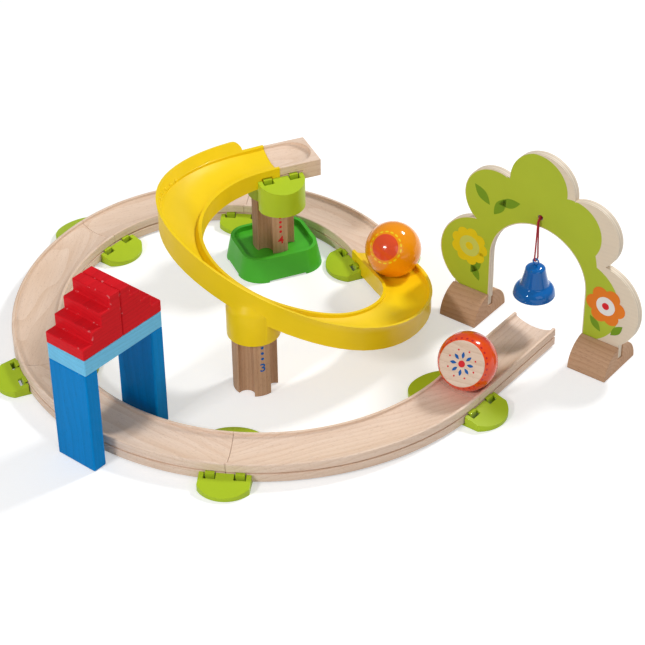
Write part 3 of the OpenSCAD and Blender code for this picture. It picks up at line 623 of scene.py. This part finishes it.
# Places of pieces in the wood that they are cut from, in metres, so that no two show the same grain
CURVE_BOARDS = Vector((0, 0, 0.21))
CUP_BOARD = Vector((0.3, 0.2, 0.4))
FACE_BOARD = (0.13, 0.012, 0.02)
GATE_BOARDS = Vector((0, 0, 0.17))


class BALLTRACK_OT_curves(bpy.types.Operator):
    """Grooved beech curves of the ring"""

    bl_idname = "ball_track.curves"
    bl_label = "Track Curves"

    def execute(self, context):
        outline = track_outline()
        for number, (node, (centre, radius, start)) in enumerate(CURVES.items()):
            ease = math.degrees(JOINT_GAP / 2 / radius)
            out = heading(start + ease)
            bm = bmesh.new()
            ring = closed_ring(bm, [centre + out * (radius + point.x) + UP * point.y for point in outline])
            turn = math.radians(CURVE_TURN - 2 * ease)
            bmesh.ops.spin(bm, geom=[*bm.verts, *ring], cent=centre, axis=UP, angle=turn, steps=44,
                           use_merge=False)
            cap_ends(bm, END_ROUND)
            along = heading(start + CURVE_TURN / 2 + 90)
            board = stand(centre + CURVE_BOARDS * (number + 1), along)
            add_piece(node + "_wood", bm, [beech_material()], SET_BODY, [node], board)
        return {"FINISHED"}


class BALLTRACK_OT_straight(bpy.types.Operator):
    """Straight run-out and the starter cup"""

    bl_idname = "ball_track.straight"
    bl_label = "Straight and Cup"

    def execute(self, context):
        length = 105 * MM
        board = stand(STRAIGHT_START, RUN_OUT)
        bm = bmesh.new()
        start = JOINT_GAP / 2
        ring = closed_ring(bm, [board @ Vector((start, point.x, point.y)) for point in track_outline()])
        far = bmesh.ops.extrude_edge_only(bm, edges=ring)["geom"]
        bmesh.ops.translate(bm, vec=RUN_OUT * (length - start),
                            verts=[item for item in far if isinstance(item, bmesh.types.BMVert)])
        cap_ends(bm, END_ROUND)
        beech = beech_material()
        add_piece("track_straight_wood", bm, [beech], SET_BODY, ["track_straight"], board)
        board = stand(TOWER + CUP_BOARD, heading(TOWER_TURN))
        add_rounded("starter_cup", "_wood", beech, CUP_ROUND, board=board)
        return {"FINISHED"}


class BALLTRACK_OT_connectors(bpy.types.Operator):
    """Lime plastic connectors and the tower bracket"""

    bl_idname = "ball_track.connectors"
    bl_label = "Connectors"

    def execute(self, context):
        lime = plastic_material("Lime plastic", colours().lime, 0.42, 0.1)
        nodes = [node for node in frame["nodes"] if node.startswith("connector_")] + ["tower_bracket"]
        for node in nodes:
            add_rounded(node, "_moulded", lime, sizes().clip_round, 35, 2)
        return {"FINISHED"}


class BALLTRACK_OT_tower_base(bpy.types.Operator):
    """Green foot under the rear pillar"""

    bl_idname = "ball_track.tower_base"
    bl_label = "Tower Base"

    def execute(self, context):
        green = plastic_material("Green plastic", colours().green, 0.40, 0.1)
        add_rounded("tower_base", "_moulded", green, sizes().base_round)
        return {"FINISHED"}


# Heights of a pillar's number over its foot and of the first dot over the number's middle
NUMBER_HEIGHT = 26.5 * MM
FIRST_DOT = 8 * MM


class BALLTRACK_OT_pillars(bpy.types.Operator):
    """Fluted pillars with their level numbers"""

    bl_idname = "ball_track.pillars"
    bl_label = "Pillars"

    def execute(self, context):
        tint = colours()
        numbers = {
            "rear_pillar": ("4", "Print red", tint.print_red, "red_stain", 4.5 * MM),
            "front_pillar": ("3", "Print blue", tint.print_blue, "blue_stain", 5.0 * MM),
        }
        for node, (digit, ink, ink_colour, slot, spacing) in numbers.items():
            axis = middle(node)
            board = stand(axis, heading(TOWER_TURN)) @ Matrix.Rotation(-math.pi / 2, 4, "Y")
            add_rounded(node, "_wood", brown_beech_material(), BROWN_ROUND, 35, 2, board)
            bm = text_mesh(digit, sizes().digit_height)
            for number in range(int(digit)):
                place = Matrix.Translation((0, FIRST_DOT + number * spacing, 0))
                disc(bm, place, sizes().dot_radius, segments=20)
            for step in range(-4, 5):
                bmesh.ops.bisect_plane(bm, geom=[*bm.verts, *bm.edges, *bm.faces],
                                       plane_co=(0.5 * step * MM, 0, 0), plane_no=(1, 0, 0))
            radius = PILLAR_RADIUS + sizes().print_lift
            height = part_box(node)[0][2] + NUMBER_HEIGHT
            for vert in bm.verts:
                out = heading(TOWER_TURN - 90 + math.degrees(vert.co.x / radius))
                vert.co = axis + radius * out + UP * (height + vert.co.y)
            add_piece(node + "_number", bm, [print_material(ink, ink_colour)], SET_BODY)
        return {"FINISHED"}


# Raised pips inside the chute's outer wall: where its rim is looked for from above, how many pips, first
# place and step in degrees, drop under the rim
RIM_REACH = 18 * MM
OVERHEAD = 0.3
PIPS = 9
FIRST_PIP = 157
PIP_STEP = 5.6
PIP_DROP = 2.8 * MM
PIP_HALF = (2.2 * MM, 1.3 * MM, 0.8 * MM)


class BALLTRACK_OT_chute(bpy.types.Operator):
    """Yellow spiral chute"""

    bl_idname = "ball_track.chute"
    bl_label = "Spiral Chute"

    def execute(self, context):
        yellow = plastic_material("Yellow plastic", colours().yellow, 0.36, 0.1)
        bm = node_copy("spiral_chute")
        surface = BVHTree.FromBMesh(bm)
        round_edges(bm, sizes().chute_round, 48, 2)
        add_piece("spiral_chute_moulded", bm, [yellow], SET_BODY, ["spiral_chute"],
                  smooth=40)
        bm = bmesh.new()
        for step in range(PIPS):
            out = heading(FIRST_PIP + PIP_STEP * step)
            top = surface.ray_cast(CHUTE_CENTRE + out * (CHUTE_RADIUS + RIM_REACH) + UP * OVERHEAD, -UP)[0]
            level = CHUTE_CENTRE + out * CHUTE_RADIUS + UP * (top.z - PIP_DROP)
            spot, normal = surface.ray_cast(level, out)[:2]
            shape = Matrix.Diagonal((*PIP_HALF, 1.0))
            bmesh.ops.create_uvsphere(bm, u_segments=20, v_segments=10, radius=1.0,
                                      matrix=look_frame(spot, normal) @ shape)
        add_piece("spiral_chute_pips", bm, [yellow], SET_BODY, smooth=80)
        return {"FINISHED"}


# Prints on the balls: the way each looks, rings as angles from its middle, and spreads in degrees
DISC_LOOK = (heading(247) + UP * 0.715).normalized()
DISC_SPREAD = 28
DASHES = 18
DASH_RING = math.radians(34)
DASH_SPREAD = 2.0
FACE_LOOK = math.sin(math.radians(64)) * heading(247) + UP * math.cos(math.radians(64))
FACE_RADIUS = 17 * MM
RED_DOTS = 28
RED_DOT_RING = math.radians(57)
RED_DOT_SPREAD = 2.3
# Rosette on the red ball's face
PETALS = 8
ROSETTE_HEART = 2.6 * MM
PETAL_REACH = 6.6 * MM
PETAL_SIZE = (5.2 * MM, 2.4 * MM)
BEAD_REACH = 10.8 * MM
BEAD_RADIUS = 0.7 * MM


class BALLTRACK_OT_balls(bpy.types.Operator):
    """Orange ball with its disc and red ball with its flat wooden face"""

    bl_idname = "ball_track.balls"
    bl_label = "Balls"

    def execute(self, context):
        self.orange_ball()
        self.red_ball()
        return {"FINISHED"}

    def orange_ball(self):
        tint = colours()
        paint = plastic_material("Orange paint", tint.orange, 0.14, 0.35)
        centre = Vector(JOINTS["orange_ball_run"]["pos_m"])
        bm = bmesh.new()
        bmesh.ops.create_uvsphere(bm, u_segments=96, v_segments=48, radius=BALL_RADIUS,
                                  matrix=Matrix.Translation(centre))
        add_piece("orange_ball_shell", bm, [paint], "orange_ball", ["orange_ball"])
        inks = [plastic_material("Disc paint", tint.orange_disc, 0.2, 0.6),
                plastic_material("Dot paint", tint.dots, 0.2, 0.6)]
        bm = bmesh.new()
        skin = BALL_RADIUS + sizes().print_lift
        ball_cap(bm, centre, DISC_LOOK, skin, DISC_SPREAD)
        cap_ring(bm, centre, DISC_LOOK, skin, DASH_RING, DASHES, DASH_SPREAD, 1, True)
        weld(bm)
        add_piece("orange_ball_disc", bm, inks, "orange_ball")

    def red_ball(self):
        tint = colours()
        paint = plastic_material("Red paint", tint.red, 0.14, 0.35)
        centre = Vector(JOINTS["red_ball_run"]["pos_m"])
        out = FACE_LOOK
        face = look_frame(centre, out)
        cut = math.sqrt(BALL_RADIUS ** 2 - FACE_RADIUS ** 2)
        edge = math.asin((FACE_RADIUS + 0.5 * MM) / BALL_RADIUS)
        bm = bmesh.new()
        angles = [math.pi + (edge - math.pi) * step / 40 for step in range(41)]
        places = [(BALL_RADIUS * math.sin(a), BALL_RADIUS * math.cos(a)) for a in angles]
        places += [(FACE_RADIUS - 0.1 * MM, cut - 0.05 * MM), (FACE_RADIUS - 0.6 * MM, cut), (8 * MM, cut),
                   (0.0, cut)]
        turned(bm, [face @ Vector((x, 0, z)) for x, z in places], centre, out, 96)
        weld(bm)
        bmesh.ops.recalc_face_normals(bm, faces=bm.faces)
        for item in bm.faces:
            item.material_index = int((item.calc_center_median() - centre).dot(out) > cut - 0.35 * MM)
        board = face @ Matrix.Rotation(math.radians(70), 4, "X") @ Matrix.Translation(FACE_BOARD)
        wood = wood_material("Face beech", tint.beech, tint.beech_dark, 0.85, 0.3, 0.45, 0.1)
        add_piece("red_ball_shell", bm, [paint, wood], "red_ball", ["red_ball"], board)
        inks = [print_material("Print red", tint.print_red), print_material("Print blue", tint.print_blue)]
        bm = bmesh.new()
        lift = cut + sizes().print_lift
        disc(bm, face @ Matrix.Translation((0, 0, lift)), ROSETTE_HEART)
        for step in range(PETALS):
            turn = face @ Matrix.Rotation(2 * math.pi * step / PETALS, 4, "Z")
            leaf(bm, turn @ Matrix.Translation((PETAL_REACH, 0, lift)), *PETAL_SIZE, 1)
            turn = turn @ Matrix.Rotation(math.pi / PETALS, 4, "Z")
            disc(bm, turn @ Matrix.Translation((BEAD_REACH, 0, lift)), BEAD_RADIUS, 0, 16)
        add_piece("red_ball_rosette", bm, inks, "red_ball")
        bm = bmesh.new()
        skin = BALL_RADIUS + sizes().print_lift
        cap_ring(bm, centre, out, skin, RED_DOT_RING, RED_DOTS, RED_DOT_SPREAD)
        weld(bm)
        ink = plastic_material("Red dot paint", tint.red_dots, 0.2, 0.6)
        add_piece("red_ball_dots", bm, [ink], "red_ball")


# Green print on the arch: lobes as (sideways, up, radius) in millimetres, inside the panel's own lobes
PRINT_LOBES = (
    (-4.5, 136, 26.3), (-40.8, 108.7, 26.6), (-53, 52, 35.2), (27, 108.5, 26), (37.5, 52, 35.5), (0, 80, 51))


def arch_material():
    """Plywood panel: layered edges, cream faces, and a green print with a bare margin."""
    tint = colours()
    material, tree, shader = new_material("Painted plywood")
    place = attribute(tree, "board")
    split = tree.nodes.new("ShaderNodeSeparateXYZ")
    tree.links.new(place, split.inputs[0])
    across, deep, high = split.outputs
    flat = vector_node(tree, "MULTIPLY", place, (1.0, 0.0, 1.0))
    inside = None
    for lobe_u, lobe_z, radius in PRINT_LOBES:
        reach = tree.nodes.new("ShaderNodeVectorMath")
        reach.operation = "DISTANCE"
        tree.links.new(flat, reach.inputs[0])
        reach.inputs[1].default_value = (lobe_u * MM, 0.0, lobe_z * MM)
        lobe = math_node(tree, "SUBTRACT", radius * MM, reach.outputs["Value"])
        inside = lobe if inside is None else math_node(tree, "MAXIMUM", inside, lobe)
    over_spring = math_node(tree, "SUBTRACT", high, OPENING_TOP - OPENING_HALF)
    over_spring = math_node(tree, "MAXIMUM", over_spring, 0.0)
    square = math_node(tree, "ADD", math_node(tree, "MULTIPLY", across, across),
                       math_node(tree, "MULTIPLY", over_spring, over_spring))
    off_opening = math_node(tree, "SUBTRACT", math_node(tree, "SQRT", square), OPENING_HALF + 0.9 * MM)
    inside = math_node(tree, "MINIMUM", inside, off_opening)
    on_face = math_node(tree, "SUBTRACT", math_node(tree, "ABSOLUTE", deep), PANEL_HALF - 0.12 * MM)
    printed = ranged(tree, math_node(tree, "MINIMUM", inside, on_face), -0.05 * MM, 0.05 * MM)
    layers = math_node(tree, "SINE", math_node(tree, "MULTIPLY", deep, 2 * math.pi / (2.4 * MM)))
    grain = placed_group(tree, wood_grain_group(), place)
    bare = mixed(tree, math_node(tree, "MULTIPLY", grain.outputs["Tone"], 0.25), tint.cream,
                 dim(tint.cream, 0.72))
    edge_mask = math_node(
        tree, "MULTIPLY", ranged(tree, layers, 0.0, 0.5), ranged(tree, on_face, 0.0, -0.1 * MM))
    bare = mixed(tree, math_node(tree, "MULTIPLY", edge_mask, 0.45), bare, dim(tint.cream, 0.6))
    skin = placed_group(tree, moulded_skin_group(), object_place(tree))
    paint = mixed(tree, skin.outputs["Cloud"], dim(tint.leaf, 0.94), tint.leaf)
    tree.links.new(mixed(tree, printed, bare, paint), shader.inputs["Base Color"])
    tree.links.new(ranged(tree, skin.outputs["Sheen"], 0.0, 1.0, 0.46, 0.58), shader.inputs["Roughness"])
    shader.inputs["Specular IOR Level"].default_value = 0.3
    add_bump(tree, shader, grain.outputs["Height"], 0.06, 0.1 * MM)
    return material


# Printed leaves as (sideways, up, turn in degrees, length), in millimetres
LEAVES = (
    (-60, 36, 62, 19), (-52, 31, 118, 16), (-41, 97, 60, 20), (-45, 104, 135, 20), (-37, 108, 20, 20),
    (58, 29.5, 130, 15), (67, 30, 50, 15))


class BALLTRACK_OT_arch(bpy.types.Operator):
    """Painted plywood arch, its feet and its printed flowers"""

    bl_idname = "ball_track.arch"
    bl_label = "Bell Arch"

    def execute(self, context):
        add_rounded("arch_panel", "_painted", arch_material(), PANEL_ROUND, 40, 2, ARCH_FRAME)
        for number, node in enumerate(("arch_foot_left", "arch_foot_right")):
            board = ARCH_FRAME @ Matrix.Translation((0.3 * number, 0.012, 0.045))
            add_rounded(node, "_wood", brown_beech_material(), BROWN_ROUND, 40, 2, board)
        self.flowers()
        return {"FINISHED"}

    def spot(self, across, high, layer):
        """Place on the panel's front in millimetres, +Z out of it; higher layers lie on lower ones."""
        place = Matrix.Translation((across * MM, -PANEL_HALF - layer * sizes().print_lift, high * MM))
        return ARCH_FRAME @ place @ Matrix.Rotation(math.pi / 2, 4, "X")

    def flowers(self):
        tint = colours()
        inks = [print_material("Print " + name, ink) for name, ink in (
            ("yellow", tint.print_yellow), ("orange", tint.print_orange), ("green", tint.print_green),
            ("white", tint.print_white), ("red", tint.print_red), ("pale green", tint.print_pale))]
        yellow, orange, green, white, red, pale = range(6)
        bm = bmesh.new()
        for across, high, turn, length in LEAVES:
            place = self.spot(across, high, 1) @ Matrix.Rotation(math.radians(turn), 4, "Z")
            place = place @ Matrix.Translation((length / 2 * MM, 0, 0))
            leaf(bm, place, length * MM, length * 0.42 * MM, green)
        for across, high, petals, ring, size, ink, heart, eye in (
                (-62, 60, 9, 11.5, 5.2, yellow, pale, yellow), (61, 54, 6, 10, 6.8, orange, white, red)):
            for step in range(petals):
                place = self.spot(across, high, 2) @ Matrix.Rotation(2 * math.pi * step / petals, 4, "Z")
                place = place @ Matrix.Translation((ring * MM, 0, step % 2 * 0.3 * sizes().print_lift))
                disc(bm, place, size * MM, ink)
            disc(bm, self.spot(across, high, 3), 0.8 * ring * MM, heart)
            disc(bm, self.spot(across, high, 4), 0.3 * ring * MM, eye)
        add_piece("arch_flowers", bm, inks, SET_BODY)


class BALLTRACK_OT_bell(bpy.types.Operator):
    """Enamelled bell with its eye, clapper and cord"""

    bl_idname = "ball_track.bell"
    bl_label = "Bell"

    def execute(self, context):
        tint = colours()
        enamel = plastic_material("Bell enamel", tint.bell, 0.1, 0.4)
        self.add_shell(enamel)
        add_piece("bell_eye_wire", node_copy("bell_eye"), [enamel], "bell", ["bell_eye"],
                  smooth=60)
        steel = plastic_material("Clapper steel", tint.steel, 0.3)
        steel.node_tree.nodes["Principled BSDF"].inputs["Metallic"].default_value = 1.0
        add_piece("bell_clapper_steel", node_copy("bell_clapper"), [steel], "clapper",
                  ["bell_clapper"], smooth=60)
        self.add_cord()
        return {"FINISHED"}

    def wall(self, inset):
        """Bell's wall from the mouth to the crown as (radius, height) in millimetres."""
        brim = [math.radians(9 * step) for step in range(8)]
        places = [(11 - inset + 5 * math.cos(a), 2.375 + (6.6 - inset) * math.sin(a)) for a in brim]
        flare = [(11.55, 9.3), (11.05, 9.9), (10.75, 10.7), (10.45, 11.8), (10.05, 13.4), (9.55, 15.4),
                 (9.05, 17.4), (8.6, 19.4), (8.2, 21.4), (7.95, 22.6)]
        dome = [math.radians(10 * step) for step in range(10)]
        return [*places, *((radius - inset, height - 0.4 * inset) for radius, height in flare),
                *(((7.8 - inset) * math.cos(a), 23.57 + (3.43 - inset) * math.sin(a)) for a in dome)]

    def add_shell(self, enamel):
        lip = [(14.6, 0.0), (15.6, 0.0), (16.1, 0.35), (16.3, 1.0), (16.2, 1.7), (15.85, 2.1)]
        places = [*reversed(self.wall(1.4)), *lip, *self.wall(0.0)]
        axis = ARCH_FRAME @ Matrix.Translation((0, -BELL_OUT, BELL_MOUTH))
        bm = bmesh.new()
        points = [axis @ Vector((radius * MM, 0, height * MM)) for radius, height in places]
        turned(bm, points, axis.translation, UP, 96)
        weld(bm)
        bmesh.ops.recalc_face_normals(bm, faces=bm.faces)
        add_piece("bell_shell", bm, [enamel], "bell", ["bell"], smooth=50)

    def add_cord(self):
        strand, bend = 0.9 * MM, 2.4 * MM
        bend_deep, bend_high = -2.4 * MM, HOLE_HEIGHT - strand - bend
        knot, top, low = 4 * MM, HOLE_HEIGHT - 9.5 * MM, EYE_HEIGHT + 3.2 * MM
        drop = [(-1.65 * MM, (3 * top + 5 * low) / 8), (-2.4 * MM, low), (-2.08 * MM, EYE_HEIGHT + 2 * MM),
                (-1.2 * MM, EYE_HEIGHT + 1.12 * MM)]
        turns = [math.radians(30 * step) for step in range(4)]
        outer, inner = (
            [(bend_deep - radius * math.sin(a), bend_high + radius * math.cos(a)) for a in turns]
            for radius in (bend + 2 * strand, bend))
        front = [(deep - BELL_OUT, high) for deep, high in drop]
        back = [(-deep - BELL_OUT, high) for deep, high in reversed(drop)]
        route = [
            (knot, HOLE_HEIGHT + strand), (0.0, HOLE_HEIGHT + strand), *outer, (outer[-1][0], top), *front,
            (-BELL_OUT, EYE_HEIGHT + 0.8 * MM), *back, (inner[-1][0], top), *reversed(inner),
            (0.0, HOLE_HEIGHT - strand), (knot, HOLE_HEIGHT - strand)]
        points = [ARCH_FRAME @ Vector((0, deep, high)) for deep, high in route]
        curve = bpy.data.curves.new("bell_cord_twine", "CURVE")
        curve.dimensions = "3D"
        curve.bevel_depth = 0.6 * MM
        curve.bevel_resolution = 3
        curve.use_fill_caps = True
        spline = curve.splines.new("POLY")
        spline.points.add(len(points) - 1)
        for spot, point in zip(spline.points, points):
            spot.co = (*point, 1.0)
        twine = self.cord_material()
        curve.materials.append(twine)
        cord = bpy.data.objects.new("bell_cord_twine", curve)
        bpy.context.scene.collection.objects.link(cord)
        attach(cord, "cord")
        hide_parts("bell_cord")
        self.add_knot(twine)

    def add_knot(self, twine):
        """Overhand knot behind the panel: a few turns of cord drawn into a lump."""
        bm = bmesh.new()
        place = ARCH_FRAME @ Matrix.Translation((0, 5.6 * MM, HOLE_HEIGHT))
        place = place @ Matrix.Rotation(math.pi / 2, 4, "X")
        bmesh.ops.create_uvsphere(bm, u_segments=48, v_segments=24, radius=2.4 * MM)
        for vert in bm.verts:
            around = math.atan2(vert.co.y, vert.co.x)
            swell = 1 + 0.13 * math.sin(3 * around + vert.co.z / (0.7 * MM))
            vert.co = Vector((vert.co.x * swell, vert.co.y * swell, vert.co.z * 0.75))
        bmesh.ops.transform(bm, matrix=place, verts=bm.verts)
        add_piece("cord_knot_twine", bm, [twine], "cord", ["cord_knot"], smooth=80)

    def cord_material(self):
        tint = colours()
        material, tree, shader = new_material("Cord twine")
        twist_and_groove_shade = tree.nodes.new("ShaderNodeTexWave")
        twist_and_groove_shade.bands_direction = "DIAGONAL"
        preset(twist_and_groove_shade, {"Scale": 420.0, "Distortion": 1.5})
        tree.links.new(object_place(tree), twist_and_groove_shade.inputs["Vector"])
        # The twist's low grooves are painted darker red: painted shade between the strands; the same pattern
        # gives the twist's relief.
        tree.links.new(mixed(tree, twist_and_groove_shade.outputs["Fac"], dim(tint.cord, 0.55), tint.cord),
                       shader.inputs["Base Color"])
        shader.inputs["Roughness"].default_value = 0.8
        add_bump(tree, shader, twist_and_groove_shade.outputs["Fac"], 0.5, 0.15 * MM)
        return material


class BALLTRACK_OT_gate(bpy.types.Operator):
    """Gate of stained wooden blocks"""

    bl_idname = "ball_track.gate"
    bl_label = "Block Gate"

    def execute(self, context):
        tint = colours()
        blocks = {
            "gate_post_outer": ("Blue stain", tint.blue, "blue_stain", True),
            "gate_post_inner": ("Blue stain", tint.blue, "blue_stain", True),
            "gate_lintel": ("Light blue stain", tint.light_blue, "light_blue_stain", False),
            "stair_block_outer": ("Red stain", tint.brick, "red_stain", False),
            "stair_block_inner": ("Red stain", tint.brick, "red_stain", False),
        }
        for number, (node, (name, stain, slot, upright)) in enumerate(blocks.items()):
            board = stand(middle(node) + GATE_BOARDS * number, heading(GATE_TURN))
            if upright:
                board = board @ Matrix.Rotation(-math.pi / 2, 4, "Y")
            add_rounded(node, "_wood", stained_material(name, stain), sizes().wood_round, board=board)
        return {"FINISHED"}


CAMERA_PLACE = Vector((31.6, -1275.1, 921.3)) * MM
CAMERA_PITCH = 35.722
CAMERA_TURN = 1.341
CAMERA_ROLL = -0.729
CAMERA_LENS = 111.63
AMBIENT = 0.32
FLOOR_GLOW = 0.42
# Soft lamps as (name, turn, rise, distance, size, power), in degrees, metres and watts
LAMPS = (
    ("key", 36, 48, 1.6, 0.22, 14.0),
    ("front", 228, 36, 1.8, 0.24, 10.8),
    ("fill", 300, 30, 1.8, 1.0, 4.2))


class BALLTRACK_OT_stage(bpy.types.Operator):
    """Pale floor, soft light and the camera"""

    bl_idname = "ball_track.stage"
    bl_label = "Stage"

    def execute(self, context):
        scene = context.scene
        bm = bmesh.new()
        bmesh.ops.create_grid(bm, x_segments=1, y_segments=1, size=6.0,
                              matrix=Matrix.Translation((0, 0, -0.2 * MM)))
        mesh = bpy.data.meshes.new("floor")
        bm.to_mesh(mesh)
        bm.free()
        material, tree, shader = new_material("Pale floor")
        cloud = stretched_noise(tree, object_place(tree), (3.0, 3.0, 3.0), 2.0)
        pale = mixed(tree, cloud, (0.73, 0.73, 0.73), (0.75, 0.75, 0.75))
        tree.links.new(pale, shader.inputs["Base Color"])
        preset(shader, {"Roughness": 0.9, "Specular IOR Level": 0.0, "Emission Color": (1.0, 1.0, 1.0, 1.0)})
        path = tree.nodes.new("ShaderNodeLightPath")
        seen = math_node(tree, "MAXIMUM", path.outputs["Is Camera Ray"], path.outputs["Is Glossy Ray"])
        tree.links.new(math_node(tree, "MULTIPLY", seen, FLOOR_GLOW), shader.inputs["Emission Strength"])
        mesh.materials.append(material)
        floor = bpy.data.objects.new("floor", mesh)
        scene.collection.objects.link(floor)

        world = bpy.data.worlds.new("Studio")
        world.use_nodes = True
        tree = world.node_tree
        backdrop = tree.nodes["Background"]
        backdrop.inputs["Color"].default_value = (1.0, 1.0, 1.0, 1.0)
        path = tree.nodes.new("ShaderNodeLightPath")
        strength = ranged(tree, path.outputs["Is Camera Ray"], 0.0, 1.0, AMBIENT, 1.0)
        tree.links.new(strength, backdrop.inputs["Strength"])
        scene.world = world

        for name, turn, rise, distance, size, power in LAMPS:
            lamp = bpy.data.lights.new(name, "AREA")
            lamp.shape = "SQUARE"
            lamp.size = size
            lamp.energy = power
            way = heading(turn) * math.cos(math.radians(rise)) + UP * math.sin(math.radians(rise))
            holder = bpy.data.objects.new(name, lamp)
            holder.location = way * distance
            holder.rotation_euler = way.to_track_quat("Z", "Y").to_euler()
            scene.collection.objects.link(holder)

        lens = bpy.data.cameras.new("camera")
        lens.lens = CAMERA_LENS
        lens.sensor_width = 36.0
        lens.clip_start = 0.01
        camera = bpy.data.objects.new("camera", lens)
        camera.location = CAMERA_PLACE
        turn = Matrix.Rotation(math.radians(CAMERA_TURN), 3, "Z")
        tilt = Matrix.Rotation(math.radians(90 - CAMERA_PITCH), 3, "X")
        roll = Matrix.Rotation(math.radians(CAMERA_ROLL), 3, "Z")
        camera.rotation_euler = (turn @ tilt @ roll).to_euler()
        scene.collection.objects.link(camera)
        scene.camera = camera
        scene.view_settings.view_transform = "Standard"
        return {"FINISHED"}


class BALLTRACK_PT_panel(bpy.types.Panel):
    """Operators and settings of the ball track"""

    bl_idname = "BALLTRACK_PT_panel"
    bl_label = "Ball Track"
    bl_space_type = "VIEW_3D"
    bl_region_type = "UI"
    bl_category = "Ball Track"

    def draw(self, context):
        for operator in OPERATORS:
            self.layout.operator(operator.bl_idname)
        for group in (context.scene.ball_track_sizes, context.scene.ball_track_colours):
            box = self.layout.box()
            for name in group.__annotations__:
                box.prop(group, name)


OPERATORS = (
    BALLTRACK_OT_curves, BALLTRACK_OT_straight, BALLTRACK_OT_connectors, BALLTRACK_OT_tower_base,
    BALLTRACK_OT_pillars, BALLTRACK_OT_chute, BALLTRACK_OT_balls, BALLTRACK_OT_arch, BALLTRACK_OT_bell,
    BALLTRACK_OT_gate, BALLTRACK_OT_stage)
CLASSES = (TrackSizes, TrackColours, *OPERATORS, BALLTRACK_PT_panel)


def register():
    for cls in CLASSES:
        bpy.utils.register_class(cls)
    bpy.types.Scene.ball_track_sizes = PointerProperty(type=TrackSizes)
    bpy.types.Scene.ball_track_colours = PointerProperty(type=TrackColours)


def unregister():
    del bpy.types.Scene.ball_track_colours
    del bpy.types.Scene.ball_track_sizes
    for cls in reversed(CLASSES):
        bpy.utils.unregister_class(cls)


def main():
    register()
    for operator in OPERATORS:
        group, call = operator.bl_idname.split(".")
        getattr(getattr(bpy.ops, group), call)()


if __name__ == "__main__":
    main()
